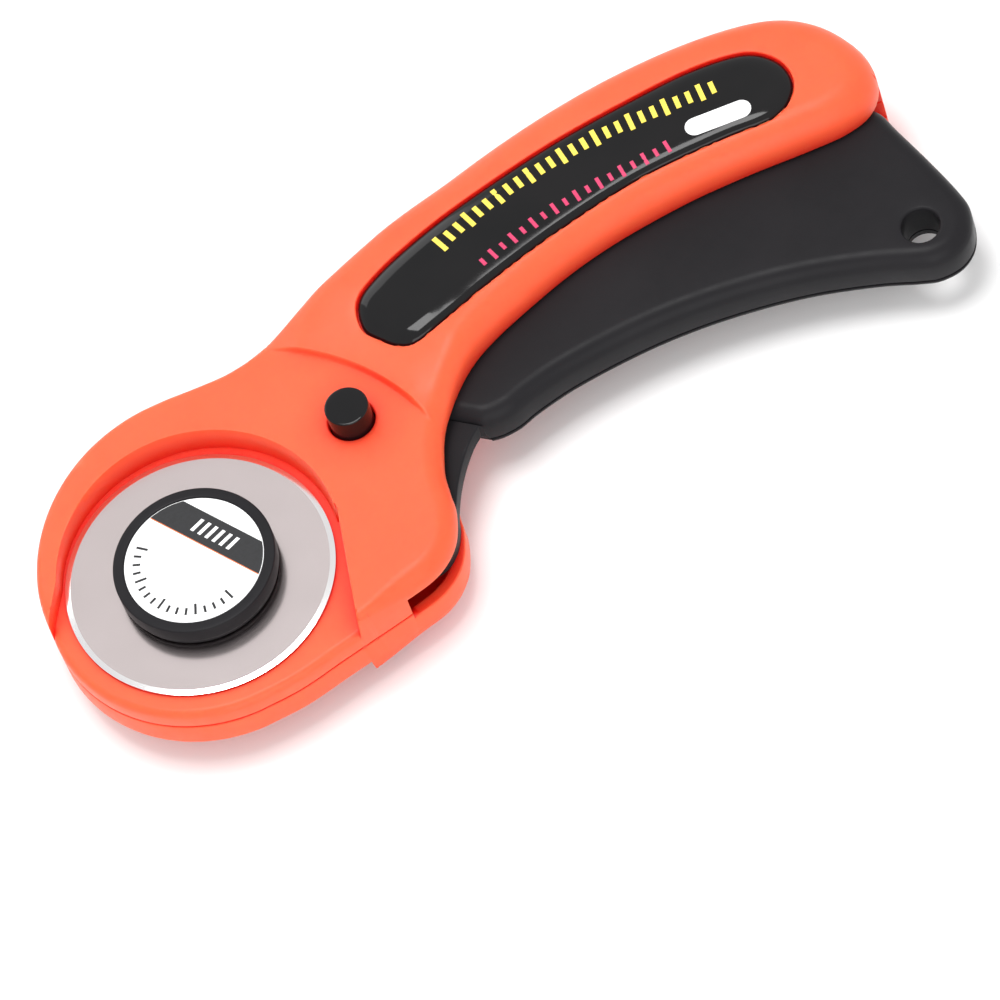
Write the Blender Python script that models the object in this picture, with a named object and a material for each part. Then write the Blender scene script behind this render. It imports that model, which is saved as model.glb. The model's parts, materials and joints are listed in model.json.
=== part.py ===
"""Squeeze-handle rotary cutter, 45 mm blade, lying on its back with its front face up.

Design coordinates are millimetres: X along the tool from the blade to the tail, Y across it,
Z up out of the front face. The hub of the blade is at X = Y = 0 and the blade's upper face is
Z = 0. The world frame is metres, with its origin under the middle of the tool and Z = 0 on the
flat back of the handle.
"""
import math

import bmesh
import bpy
import numpy as np
from mathutils import Vector
from mathutils.geometry import delaunay_2d_cdt

MM = 0.001
GAP = 0.3                         # gap left between pieces that touch

# placing the design in the world
HUB_X = -56.15                    # hub axis, from the middle of the tool
HUB_Y = -17.45
BLADE_Z = 16.0                    # blade's upper face above the flat back

# blade and hub
BLADE_R = 22.5
BLADE_THICK = 0.35
BEVEL_R = 21.6                    # where the ground bevel starts
CAP_R = 13.5
CAP_TOP = 4.5
LABEL_R = 11.5
SLOT_R = 4.7                      # half width of the slot that the hub moves in
NUT_R = 8.5
NUT_BOTTOM = -15.7

# the two shells, mirrored about the parting plane
PARTING = -4.5
FLOOR_Z = -0.65                   # low floor that the blade lies over
HEAD_Z = 4.0                      # raised plane of the head
RING_DROP = 1.8                   # fall of the ring towards its left end
CREASE_STEP = 1.1
CROWN_Z = 7.0                     # flat top of the handle
WALL = 2.0
DRAFT = 0.15                      # sideways run of an inner wall
LIP_OPEN = -0.1                   # edge of the shell where the lever comes out
LIP_CLOSED = PARTING + GAP / 2
LIP_NOSE = -3.4                   # the back shell's higher edge round the nose
HEAD_SWELL = 6.1                  # how far the head's top stands past the round end
RIM_R = 26.0                      # round end of the head
RECESS_C = (0.5, 0.6)
RECESS_R = 23.55
RECESS_RUN = 0.5                  # sideways run of the recess wall
RING_END = (-22.8, 5.7)           # the ring tapers to the rim from here
RING_END_DEG = 242.6              # direction of its inner edge from there
NOTCH_X = 30.0
TAIL_SLOT_Y = 41.4
LIP_STEP_Y = 6.0
POCKET_DEPTH = 1.2                # pocket for the grip panel
DISH_R = 19.5                     # dish in the back, round the hand nut
REAR_RIM = 2.0                    # how far the rim stands out round that dish
CREASE_C = (4.7, -3.6)            # centre of the curved crease between head and handle
CREASE_R = 41.2

# lever
PIVOT = (35.0, -3.0)
LEVER_TRAVEL_DEG = 9.0
GRIP_TOP = -0.5
GRIP_BACK = -8.5
GRIP_ROUND = 3.0
SEAM_Z = -7.0
ARM_TOP = -2.2
ARM_BACK = -5.2
GRIP_HOLLOW = -2.7
HANG_HOLE = (129.7, 13.3)
HANG_R = 3.2

# lock button, screws, spring
BUTTON = (31.8, 14.7)
BUTTON_R = 3.65
CASE_SCREWS = ((104.0, 57.2), (68.0, 51.0), (22.0, 30.0), (24.5, -16.0))
LEVER_SCREWS = ((63.0, 19.0), (116.0, 25.0))
SCREW_SEAT = 1.0                  # counterbore floor, measured on the mirrored back
SPRING_X = 57.0
SPRING_Y = (27.4, 45.0)

CURVE_STEP = 3.4                  # length of a facet on an outline
GRID = 10.0                       # spacing of the points inside a surface

CORAL = (0.90, 0.165, 0.07, 1.0)
BLACK = (0.022, 0.021, 0.023, 1.0)
GLOSS_BLACK = (0.012, 0.012, 0.013, 1.0)
WHITE = (0.86, 0.86, 0.86, 1.0)
STEEL = (0.62, 0.60, 0.60, 1.0)
BRASS = (0.60, 0.44, 0.20, 1.0)


# ---------------------------------------------------------------- outlines

def arc(centre, radius, start, end, count):
    """Points on a circle, angles in degrees."""
    angle = np.radians(np.linspace(start, end, count))
    return np.stack([centre[0] + radius * np.cos(angle), centre[1] + radius * np.sin(angle)], 1)


def ring(centre, radius, count=16):
    """A closed circle."""
    return arc(centre, radius, 0, 360 * (count - 1) / count, count)


def spline(points, step, closed=False):
    """Catmull-Rom curve through the points, cut into facets of about one step."""
    pts = np.array(points, float)
    if closed:
        pts = np.vstack([pts[-1], pts, pts[:2]])
    else:
        pts = np.vstack([2 * pts[0] - pts[1], pts, 2 * pts[-1] - pts[-2]])
    out = []
    for a, b, c, d in zip(pts, pts[1:], pts[2:], pts[3:]):
        count = max(1, int(round(np.linalg.norm(c - b) / step)))
        for t in np.arange(count) / count:
            out.append(0.5 * (2 * b + (c - a) * t + (2 * a - 5 * b + 4 * c - d) * t * t
                              + (3 * b - a - 3 * c + d) * t ** 3))
    if not closed:
        out.append(pts[-2])
    return np.array(out)


def shell_outline(step):
    """Outline of both shells, anticlockwise seen from the front."""
    bottom = arc((0, 0), RIM_R, 180, 272, int(RIM_R * 1.6 / step) + 2)
    nose = spline([(9.0, -25.0), (17.3, -22.7), (30.0, -19.2), (36.3, -16.9), (40.4, -12.9),
                   (42.4, -7.3), (42.6, -3.0), (43.2, 2.0), (46.4, 10.1), (54.4, 19.2),
                   (67.7, 26.0), (80.0, 30.3), (94.0, 33.0), (106.0, 34.0), (117.0, 34.2),
                   (124.5, 34.7), (129.6, 36.8), (132.3, 41.5), (131.4, 47.8), (126.8, 54.8),
                   (119.5, 59.3), (108.0, 60.9), (93.5, 60.2), (78.5, 57.5), (63.2, 53.0),
                   (47.4, 46.9), (30.8, 39.1), (21.7, 34.2), (15.8, 32.4), (10.0, 32.0),
                   (4.8, 31.95)], step)
    # from the top of the head to its left end the radius shrinks evenly with the angle
    turn = np.radians(np.linspace(90, 176, int(46 / step)))
    share = (np.pi - turn) / np.radians(97)
    radius = RIM_R + HEAD_SWELL * share ** 1.15
    left = np.stack([radius * np.cos(turn), radius * np.sin(turn)], 1)
    return np.vstack([bottom, nose, left])


def panel_outline(step):
    """Outline of the grip panel's pocket."""
    return spline([(38.5, 29.4), (40.3, 26.5), (43.2, 23.6), (46.8, 22.8), (53.9, 25.3),
                   (61.1, 28.3), (74.7, 32.9), (90.1, 36.7), (104.9, 38.1), (113.7, 38.3),
                   (118.0, 41.0), (119.4, 45.0), (118.0, 49.4), (113.5, 52.8), (105.0, 53.6), (95.1, 52.6),
                   (78.5, 49.8), (61.5, 45.2), (50.9, 41.3), (43.3, 37.5), (39.2, 34.0)],
                  step, closed=True)


def lever_outline(step):
    """Outline of the lever: hub end, thin arm round the pivot, then the grip."""
    hub = arc((0, 0), 7.0, 90, 270, int(22 / step) + 3)
    body = spline([(8.0, -7.2), (20.0, -8.6), (28.0, -11.5), (33.5, -13.8), (37.5, -13.4),
                   (40.3, -10.9), (41.9, -7.5), (42.5, -4.8), (44.1, -0.7), (46.2, 3.2),
                   (48.6, 6.6), (50.6, 8.6)], step)
    grip = spline([(52.0, 8.5), (54.0, 8.3), (57.2, 8.8), (61.0, 10.3), (68.5, 12.3),
                   (80.0, 13.9), (90.0, 14.3), (100.0, 13.7), (110.0, 12.2), (120.0, 9.5),
                   (126.5, 7.1), (130.0, 6.2), (134.0, 6.9), (137.0, 9.6), (138.4, 14.2),
                   (137.7, 18.5), (135.3, 26.0), (132.5, 33.8), (131.0, 38.0), (128.4, 40.4),
                   (124.0, 40.9), (105.0, 40.0), (94.0, 38.4), (80.0, 34.6), (66.0, 29.6),
                   (57.0, 25.0), (47.5, 17.5), (41.0, 11.4), (35.5, 8.4), (28.0, 7.4),
                   (18.0, 7.2), (7.5, 7.1)], step)
    return np.vstack([hub, body, grip])


def grip_outline(step):
    """The grip's part of the lever outline, closed along the end of the grip."""
    loop = lever_outline(step)
    return loop[past_grip_end(loop) > 0.3]


def blade_hole(count=30):
    """Three-lobed hole in the middle of the blade."""
    angle = np.linspace(0, 2 * np.pi, count, endpoint=False)
    radius = 4.6 + 0.6 * np.cos(3 * angle)
    return np.stack([radius * np.cos(angle), radius * np.sin(angle)], 1)


def hub_slot(radius=SLOT_R):
    """Slot that the hub swings along, from rest to the fully squeezed place."""
    end = turned((0.0, 0.0), LEVER_TRAVEL_DEG)
    low = arc(end, radius, 180, 360, 9)
    high = arc((0, 0), radius, 0, 180, 9)
    return np.vstack([low, high])


def turned(point, degrees):
    """A point of the lever after it has turned about its pivot."""
    c, s = math.cos(math.radians(degrees)), math.sin(math.radians(degrees))
    x, y = point[0] - PIVOT[0], point[1] - PIVOT[1]
    return (PIVOT[0] + c * x - s * y, PIVOT[1] + s * x + c * y)


def inset(loop, distance):
    """The loop moved inwards; distance may be a number or one value for each point."""
    ahead = np.roll(loop, -1, 0) - loop
    behind = loop - np.roll(loop, 1, 0)
    along = ahead / np.linalg.norm(ahead, axis=1)[:, None]
    along = along + behind / np.linalg.norm(behind, axis=1)[:, None]
    along /= np.linalg.norm(along, axis=1)[:, None]
    return loop + np.stack([-along[:, 1], along[:, 0]], 1) * np.reshape(distance, (-1, 1))


# ---------------------------------------------------------------- distances

def depth_in(loop, p):
    """Distance from each point to the loop, positive inside."""
    a = loop
    b = np.roll(loop, -1, 0)
    best = np.full(len(p), 1e9)
    inside = np.zeros(len(p), bool)
    for (ax, ay), (bx, by) in zip(a, b):
        ex, ey = bx - ax, by - ay
        t = ((p[:, 0] - ax) * ex + (p[:, 1] - ay) * ey) / (ex * ex + ey * ey + 1e-12)
        t = np.clip(t, 0, 1)
        gap = np.hypot(p[:, 0] - ax - t * ex, p[:, 1] - ay - t * ey)
        best = np.minimum(best, gap)
        crosses = (ay > p[:, 1]) != (by > p[:, 1])
        if ey:
            inside ^= crosses & (p[:, 0] < ax + ex * (p[:, 1] - ay) / ey)
    return np.where(inside, best, -best)


def smooth(value, low, high):
    """Soft step from 0 to 1."""
    t = np.clip((value - low) / (high - low), 0, 1)
    return t * t * (3 - 2 * t)


def ramp(value, low, high):
    """Straight step from 0 to 1."""
    return np.clip((value - low) / (high - low), 0, 1)


def rounded(depth, radius):
    """How far a quarter-round edge lies below the flat, at a depth in from the edge."""
    inward = np.clip(radius - depth, 0, radius)
    return radius - np.sqrt(np.maximum(radius * radius - inward * inward, 0))


def right_line(y):
    """Right side of the low floor, where the raised plane of the head ends."""
    return 24.4 + 0.149 * y


def low_region(p):
    """Positive on the low floor round the blade, negative on the raised parts."""
    circle = RECESS_R - np.hypot(p[:, 0] - RECESS_C[0], p[:, 1] - RECESS_C[1])
    return np.maximum(circle, below_ring(p))


def below_ring(p):
    """Positive on the part of the low floor that runs out to the rim."""
    sides = np.minimum(past_ring_end(p), right_line(p[:, 1]) - p[:, 0])
    return np.minimum(sides, 4.0 - 0.15 * p[:, 0] - p[:, 1])


def ring_end_line():
    """Direction of the ring's tapering inner edge, and the direction across it."""
    angle = math.radians(RING_END_DEG)
    along = np.array([math.cos(angle), math.sin(angle)])
    return along, np.array([-along[1], along[0]])


def past_ring_end(p):
    """Distance across the ring's tapering edge, positive on the low floor's side."""
    return (p - np.array(RING_END)) @ ring_end_line()[1]


def low_border(out, count=22):
    """The low floor's border, moved outwards by a distance."""
    right = [(right_line(y) + out, y) for y in (-27.0, -18.0, -9.0, 0.0)]
    circle = arc(RECESS_C, RECESS_R + out, -1, 180, count)
    along, across = ring_end_line()
    left = np.array([np.array(RING_END) + along * s - across * out for s in (-0.7, 4.0, 12.0)])
    beyond = np.hypot(left[:, 0] - RECESS_C[0], left[:, 1] - RECESS_C[1]) > RECESS_R + out
    return np.vstack([right, circle[below_ring(circle) < -out], left[beyond]])


def past_crease(p):
    """Distance past the curved crease between the head and the handle."""
    return np.hypot(p[:, 0] - CREASE_C[0], p[:, 1] - CREASE_C[1]) - CREASE_R


def past_grip_end(p):
    """Distance past the straight end of the grip, from the arm's side."""
    return ((p[:, 0] - 47.2) * 2.3 + (p[:, 1] - 11.4) * 3.3) / math.hypot(2.3, 3.3)


# ---------------------------------------------------------------- heights

def rear_floor(p):
    """Low floor of the back shell: a dish with a thick rim, measured on the mirrored back."""
    return FLOOR_Z + REAR_RIM * ramp(np.hypot(p[:, 0], p[:, 1]), DISH_R - 0.25, DISH_R + 0.25)


def outer_height(p, loop, panel, floor=FLOOR_Z):
    """Outer surface of a shell."""
    head = HEAD_Z - RING_DROP * ramp(-p[:, 0], 0, 25) ** 2
    past = past_crease(p)
    crease = CREASE_STEP * smooth(p[:, 1], 2, 14) * smooth(depth_in(loop, p), 0.5, 6)
    rise = (CROWN_Z - HEAD_Z - crease) * smooth(past, 0, 13)
    high = head + crease * smooth(past, -0.5, 0.5) + rise
    low = ramp(low_region(p), -RECESS_RUN / 2, RECESS_RUN / 2)
    flat = high * (1 - low) + floor * low
    pocket = POCKET_DEPTH * ramp(depth_in(panel, p), 0, DRAFT)
    return flat - pocket - rounded(depth_in(loop, p), edge_radius(p))


def edge_radius(p):
    """Rounding of a shell's outer edge."""
    return 1.3 + 1.9 * smooth(p[:, 0], 20, 32) + 1.9 * smooth(p[:, 0], 46, 62)


def lip_height(p, nose_lip):
    """Free edge of a shell's side wall: shut, or open where the lever comes out."""
    divide = np.interp(p[:, 0], (30, 60, 90, 120, 140), (10, 38, 46, 45, TAIL_SLOT_Y))
    is_open = (p[:, 0] > NOTCH_X) & (p[:, 1] < np.where(p[:, 0] > 124, TAIL_SLOT_Y, divide))
    near_nose = p[:, 1] < LIP_STEP_Y
    lip = np.where(near_nose, nose_lip, LIP_OPEN)
    return np.where(is_open, lip, LIP_CLOSED)


def inner_height(p, loop, nose_lip):
    """Inner surface of a shell, before its bosses."""
    past = past_crease(p)
    ceiling = 1.6 + 1.8 * smooth(past, 2, 10)
    low = ramp(low_region(p), -WALL - DRAFT, -WALL)
    ceiling = ceiling * (1 - low) + (FLOOR_Z - 1.2) * low
    inside = ramp(depth_in(loop, p), WALL, WALL + DRAFT)
    return lip_height(p, nose_lip) * (1 - inside) + ceiling * inside


def add_boss(z, p, centre, radius, end, hole_radius, hole_end):
    """Lower a round boss out of an inner surface, with a blind hole in it."""
    away = np.hypot(p[:, 0] - centre[0], p[:, 1] - centre[1])
    z = np.where(away < radius + 0.01, end, z)
    if hole_radius:
        z = np.where(away < hole_radius + 0.01, hole_end, z)
    return z


def boss_rings(centre, radius, hole_radius):
    """Outline pairs on either side of a boss's wall and of its hole's wall."""
    rings = [ring(centre, radius, 14), ring(centre, radius + DRAFT, 14)]
    if hole_radius:
        rings += [ring(centre, hole_radius, 10), ring(centre, hole_radius + DRAFT, 10)]
    return rings


# ---------------------------------------------------------------- meshes

def closed_edges(start, count):
    return [(start + i, start + (i + 1) % count) for i in range(count)]


def triangulate(loops, lines, extra):
    """Triangles over closed loops and open lines, and the points they use."""
    points, edges = [], []
    for loop in loops:
        edges += closed_edges(len(points), len(loop))
        points += [tuple(q) for q in loop]
    for line in lines:
        edges += [(len(points) + i, len(points) + i + 1) for i in range(len(line) - 1)]
        points += [tuple(q) for q in line]
    points += [tuple(q) for q in extra]
    found = delaunay_2d_cdt([Vector(q) for q in points], edges, [], 0, 1e-4)
    return np.array([tuple(v) for v in found[0]]), [tuple(f) for f in found[2]]


def hex_grid(loop, spacing):
    """Evenly spaced points over the loop's box."""
    (x0, y0), (x1, y1) = loop.min(0), loop.max(0)
    rows = np.arange(y0, y1, spacing * 0.866)
    out = []
    for k, y in enumerate(rows):
        out += [(x, y) for x in np.arange(x0 + (k % 2) * spacing / 2, x1, spacing)]
    return np.array(out)


def clear_of(points, others, distance):
    """The points that are at least a distance from all the others."""
    far = [np.min(np.hypot(*(others - q).T)) > distance for q in points]
    return points[np.array(far, bool)]


def inside_all(p, loop, holes):
    keep = depth_in(loop, p) > 1e-3
    for hole in holes:
        keep &= depth_in(hole, p) < -1e-3
    return keep


def surface(loop, holes, closed, lines, spacing):
    """One triangulated surface inside the loop and outside the holes."""
    given = np.vstack([loop] + holes + closed + lines)
    grid = hex_grid(loop, spacing)
    grid = grid[depth_in(loop, grid) > spacing * 0.4]
    grid = clear_of(grid, given, spacing * 0.45)
    points, faces = triangulate([loop] + holes + closed, lines, grid)
    middle = np.array([points[list(f)].mean(0) for f in faces])
    keep = inside_all(middle, loop, holes)
    return points, [f for f, k in zip(faces, keep) if k]


def shared_border(loop, features):
    """The loop with a point added wherever a feature line crosses it."""
    closed = [f for f, is_closed in features if is_closed]
    lines = [f for f, is_closed in features if not is_closed]
    points, faces = triangulate([loop] + closed, lines, [])
    used = points[sorted({i for f in faces for i in f})]
    order = []
    for i, (a, b) in enumerate(zip(loop, np.roll(loop, -1, 0))):
        along = b - a
        t = (used - a) @ along / (along @ along)
        off = np.hypot(*(used - a - np.outer(t, along)).T)
        on = (off < 2e-4) & (t > -1e-4) & (t < 1 - 1e-4)
        order += [(i + max(float(q), 0.0), tuple(v)) for q, v in zip(t[on], used[on])]
    order.sort()
    return np.array([v for _, v in order])


def plate(name, loop, holes, top, bottom, top_lines, bottom_lines, spacing=GRID):
    """Closed body between two height functions over one outline.

    top_lines and bottom_lines are (points, closed) pairs that each surface keeps as edges.
    """
    border = shared_border(loop, top_lines + bottom_lines)
    holes = [shared_border(hole, top_lines + bottom_lines) for hole in holes]
    layers = []
    for lines in (top_lines, bottom_lines):
        closed = [f for f, is_closed in lines if is_closed]
        open_lines = [f for f, is_closed in lines if not is_closed]
        layers.append(surface(border, holes, closed, open_lines, spacing))
    (tp, tf), (bp, bf) = layers
    verts = np.vstack([np.column_stack([tp, top(tp)]), np.column_stack([bp, bottom(bp)])])
    shift = len(tp)
    faces = [facing(tp, f, True) for f in tf]
    faces += [tuple(i + shift for i in facing(bp, f, False)) for f in bf]
    for edge_loop in [border] + holes:
        up = [nearest(tp, q) for q in edge_loop]
        down = [nearest(bp, q) + shift for q in edge_loop]
        for k in range(len(edge_loop)):
            n = (k + 1) % len(edge_loop)
            faces.append((up[k], down[k], down[n], up[n]))
    return build(name, verts, faces)


def facing(points, face, upwards):
    """The face's corners, ordered so that it looks up or down."""
    a, b, c = (points[i] for i in face[:3])
    turn = (b[0] - a[0]) * (c[1] - a[1]) - (b[1] - a[1]) * (c[0] - a[0])
    return tuple(face) if (turn > 0) == upwards else tuple(reversed(face))


def nearest(points, q):
    return int(np.argmin(np.hypot(*(points - q).T)))


def build(name, verts, faces, origin=(0.0, 0.0)):
    """Make an object from design coordinates, with its origin on the given axis."""
    used = sorted({i for f in faces for i in f})
    index = {old: new for new, old in enumerate(used)}
    base = np.array([origin[0], origin[1], 0.0])
    local = (np.array(verts, float)[used] - base) * MM
    mesh = bpy.data.meshes.new(name)
    mesh.from_pydata([tuple(v) for v in local], [], [tuple(index[i] for i in f) for f in faces])
    mesh.validate()
    obj = bpy.data.objects.new(name, mesh)
    bpy.context.scene.collection.objects.link(obj)
    obj.location = world(origin[0], origin[1], 0.0)
    return face_outwards(obj)


def world(x, y, z):
    """Design millimetres to world metres."""
    return Vector(((x + HUB_X) * MM, (y + HUB_Y) * MM, (z + BLADE_Z) * MM))


def face_outwards(obj):
    """Turn the mesh's faces to point out, by the sign of its volume."""
    bm = bmesh.new()
    bm.from_mesh(obj.data)
    bmesh.ops.recalc_face_normals(bm, faces=bm.faces)
    if bm.calc_volume(signed=True) < 0:
        bmesh.ops.reverse_faces(bm, faces=bm.faces)
    bm.to_mesh(obj.data)
    bm.free()
    return obj


def mirror_z(height):
    """The same height on the back of the tool."""
    return 2 * PARTING - height


def lathe(name, profile, centre, count=32):
    """Turn a closed profile of (radius, z) points about a vertical axis."""
    verts, faces = turned_mesh(profile, count)
    return build(name, [(centre[0] + x, centre[1] + y, z) for x, y, z in verts], faces, centre)


def turned_mesh(profile, count):
    """Points and faces of a profile of (radius, height) turned about its own axis."""
    verts, faces, rows = [], [], []
    for radius, height in profile:
        if radius == 0:
            rows.append([len(verts)] * count)
            verts.append((0.0, 0.0, height))
            continue
        rows.append(list(range(len(verts), len(verts) + count)))
        for a in 2 * np.pi * np.arange(count) / count:
            verts.append((radius * math.cos(a), radius * math.sin(a), height))
    for low, high in zip(rows, rows[1:] + rows[:1]):
        for k in range(count):
            n = (k + 1) % count
            corners = tuple(dict.fromkeys((low[k], low[n], high[n], high[k])))
            if len(corners) > 2:
                faces.append(corners)
    return verts, faces


def material(name, colour, roughness, metallic=0.0):
    mat = bpy.data.materials.get(name)
    if mat is None:
        mat = bpy.data.materials.new(name)
        mat.use_nodes = True
        shader = mat.node_tree.nodes["Principled BSDF"]
        shader.inputs["Base Color"].default_value = colour
        shader.inputs["Roughness"].default_value = roughness
        shader.inputs["Metallic"].default_value = metallic
    return mat


def finish(obj, mat, parent=None):
    """Give an object its material, smooth shading and parent."""
    obj.data.materials.append(mat)
    obj.data.shade_smooth()
    obj.data.set_sharp_from_angle(angle=math.radians(32))
    if parent is not None:
        obj.parent = parent
        obj.matrix_parent_inverse = parent.matrix_world.inverted()
    return obj


def axis_empty(name, x, y, parent=None):
    """Empty that marks a joint's axis."""
    empty = bpy.data.objects.new(name, None)
    bpy.context.scene.collection.objects.link(empty)
    empty.location = world(x, y, 0.0)
    bpy.context.view_layer.update()
    if parent is not None:
        empty.parent = parent
        empty.matrix_parent_inverse = parent.matrix_world.inverted()
        bpy.context.view_layer.update()
    return empty


# ---------------------------------------------------------------- shells

def cross_lines(nose_step):
    """Short lines across the side wall where its free edge steps up or down."""
    lines = []
    for side in (-0.02, 0.02):
        lines.append(np.array([(NOTCH_X + side, -21.0), (NOTCH_X + side, -15.5)]))
        lines.append(np.array([(128.5, TAIL_SLOT_Y + side), (134.0, TAIL_SLOT_Y + side)]))
        if nose_step:
            lines.append(np.array([(41.0, LIP_STEP_Y + side), (47.0, LIP_STEP_Y + side)]))
    return lines


def outer_lines(loop, panel):
    """Edges that the outer surface keeps."""
    radius = edge_radius(loop)
    lines = [(inset(loop, radius * share), True) for share in (0.2, 1.0)]
    lines += [(low_border(side * RECESS_RUN / 2), False) for side in (-1, 1)]
    for side in (-0.5, 0.5):
        lines.append((arc(CREASE_C, CREASE_R + side, 20, 58, 12), False))
    lines += [(panel, True), (inset(panel, DRAFT), True)]
    return lines


def inner_lines(loop, nose_step):
    """Edges that the inner surface keeps."""
    lines = [(inset(loop, WALL), True), (inset(loop, WALL + DRAFT), True)]
    lines += [(low_border(WALL + side), False) for side in (0, DRAFT)]
    lines += [(line, False) for line in cross_lines(nose_step)]
    return lines


def front_shell():
    loop = shell_outline(CURVE_STEP)
    panel = panel_outline(CURVE_STEP * 1.5)
    holes = [hub_slot(), ring(BUTTON, BUTTON_R + GAP, 20)]
    bosses = [(c, 3.0, LIP_CLOSED, 1.15, 1.0) for c in CASE_SCREWS]
    bosses.append((PIVOT, 3.6, ARM_TOP + GAP, 1.75, 1.3))
    inner = inner_lines(loop, False)
    for centre, radius, _, hole_radius, _ in bosses:
        inner += [(r, True) for r in boss_rings(centre, radius, hole_radius)]

    def bottom(p):
        z = inner_height(p, loop, LIP_OPEN)
        for boss in bosses:
            z = add_boss(z, p, *boss)
        return z

    def top(p):
        return outer_height(p, loop, panel)

    return plate("front_shell", loop, holes, top, bottom, outer_lines(loop, panel), inner)


def rear_shell():
    loop = shell_outline(CURVE_STEP)
    panel = panel_outline(CURVE_STEP * 1.5)
    holes = [hub_slot(), ring(BUTTON, BUTTON_R + GAP, 20)]
    holes += [ring(c, 1.3, 10) for c in CASE_SCREWS]
    outer = outer_lines(loop, panel)
    outer += [(ring((0, 0), DISH_R + side, 36), True) for side in (-0.25, 0.25)]
    inner = inner_lines(loop, True)
    for centre in CASE_SCREWS:
        inner += [(r, True) for r in boss_rings(centre, 3.4, 0)]
        outer += [(ring(centre, r, 14), True) for r in (2.7, 2.7 + DRAFT)]
    pivot_boss = (PIVOT, 3.6, mirror_z(ARM_BACK - GAP), 1.75, 1.3)
    inner += [(r, True) for r in boss_rings(PIVOT, 3.6, 1.75)]

    def top(p):
        z = outer_height(p, loop, panel, rear_floor(p))
        for centre in CASE_SCREWS:
            z = add_boss(z, p, centre, 2.7, SCREW_SEAT, 0, 0)
        return mirror_z(z)

    def bottom(p):
        z = inner_height(p, loop, LIP_NOSE)
        for centre in CASE_SCREWS:
            z = add_boss(z, p, centre, 3.4, LIP_CLOSED, 0, 0)
        return mirror_z(add_boss(z, p, *pivot_boss))

    return plate("rear_shell", loop, holes, bottom, top, inner, outer)


def grip_panel(name, is_front):
    """Domed panel in the pocket of one shell."""
    loop = shell_outline(CURVE_STEP)
    panel = inset(panel_outline(CURVE_STEP * 1.5), GAP + DRAFT)
    no_panel = ring((0, 200), 1.0)
    proud = 0.35 if is_front else -0.25
    edge_round = 0.9 if is_front else 0.45

    def top(p):
        return outer_height(p, loop, no_panel) + proud - rounded(depth_in(panel, p), edge_round)

    def bottom(p):
        return outer_height(p, loop, no_panel) - POCKET_DEPTH + GAP

    edge = [(inset(panel, edge_round * share), True) for share in (0.3, 1.0)]
    if is_front:
        return plate(name, panel, [], top, bottom, edge, [])
    return plate(name, panel, [], lambda p: mirror_z(bottom(p)),
                 lambda p: mirror_z(top(p)), [], edge)


# ---------------------------------------------------------------- lever

def lever_top(p, loop):
    """Front surface of the lever: the thick grip stands above the thin arm."""
    past = past_grip_end(p)
    depth = depth_in(loop, p)
    arm = ARM_TOP - rounded(depth, 0.4)
    grip = GRIP_TOP - rounded(np.minimum(depth, np.maximum(past, 0)), GRIP_ROUND)
    hole = HANG_R - np.hypot(p[:, 0] - HANG_HOLE[0], p[:, 1] - HANG_HOLE[1])
    grip = grip - rounded(-hole, 0.5)
    return np.where(past > 0.03, grip, arm)


def grip_end_line(out, reach=0.0):
    """Line along the end of the grip, moved towards the arm or away from it."""
    unit = np.array([2.3, 3.3]) / math.hypot(2.3, 3.3)
    along = np.array([unit[1], -unit[0]])
    middle = np.array([47.2, 11.4]) + unit * out
    return np.array([middle - along * (8 + reach), middle, middle + along * (6 + reach)])


def lever_body():
    loop = lever_outline(CURVE_STEP)
    holes = [ring((0, 0), 2.5, 16), ring(PIVOT, 2.65, 16), ring(HANG_HOLE, HANG_R, 20)]
    top_lines = [(inset(loop, d), True) for d in (0.4, GRIP_ROUND)]
    top_lines += [(grip_end_line(d), False) for d in (0.0, 0.06, 0.35, GRIP_ROUND)]
    top_lines.append((ring(HANG_HOLE, HANG_R + 0.5, 20), True))
    bottom_lines = [(grip_end_line(d), False) for d in (0.0, 0.06)]
    hollow = inset(grip_outline(CURVE_STEP), 3.2)
    hollow_out = inset(grip_outline(CURVE_STEP), 3.2 - DRAFT)
    bottom_lines += [(hollow, True), (hollow_out, True)]
    bosses = [(HANG_HOLE, HANG_R + 2.2, SEAM_Z + GAP / 2, 0, 0)]
    bosses += [(c, 2.6, SEAM_Z + GAP / 2, 1.15, GRIP_TOP - 3.0) for c in LEVER_SCREWS]
    for centre, radius, _, hole_radius, _ in bosses:
        bottom_lines += [(r, True) for r in boss_rings(centre, radius, hole_radius)]

    def bottom(p):
        past = past_grip_end(p)
        inside = ramp(depth_in(hollow_out, p), 0, DRAFT)
        grip = (SEAM_Z + GAP / 2) * (1 - inside) + GRIP_HOLLOW * inside
        for boss in bosses:
            grip = add_boss(grip, p, *boss)
        return np.where(past > 0.03, grip, ARM_BACK)

    return plate("lever_body", loop, holes, lambda p: lever_top(p, loop), bottom,
                 top_lines, bottom_lines)


def lever_back():
    """Cover on the back of the grip."""
    loop = grip_outline(CURVE_STEP)
    holes = [ring(HANG_HOLE, HANG_R, 20)] + [ring(c, 1.3, 10) for c in LEVER_SCREWS]
    seats = [r for c in LEVER_SCREWS for r in (ring(c, 2.3, 12), ring(c, 2.3 + DRAFT, 12))]
    lines = [(inset(loop, d), True) for d in (0.35, 1.2)] + [(r, True) for r in seats]

    def bottom(p):
        z = GRIP_BACK + rounded(depth_in(loop, p), 1.2)
        for centre in LEVER_SCREWS:
            z = add_boss(z, p, centre, 2.3, GRIP_BACK + 0.75, 0, 0)
        return z

    def top(p):
        return np.full(len(p), SEAM_Z - GAP / 2)

    return plate("lever_back", loop, holes, top, bottom, [], lines, 12.0)


# ---------------------------------------------------------------- blade and hub

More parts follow.
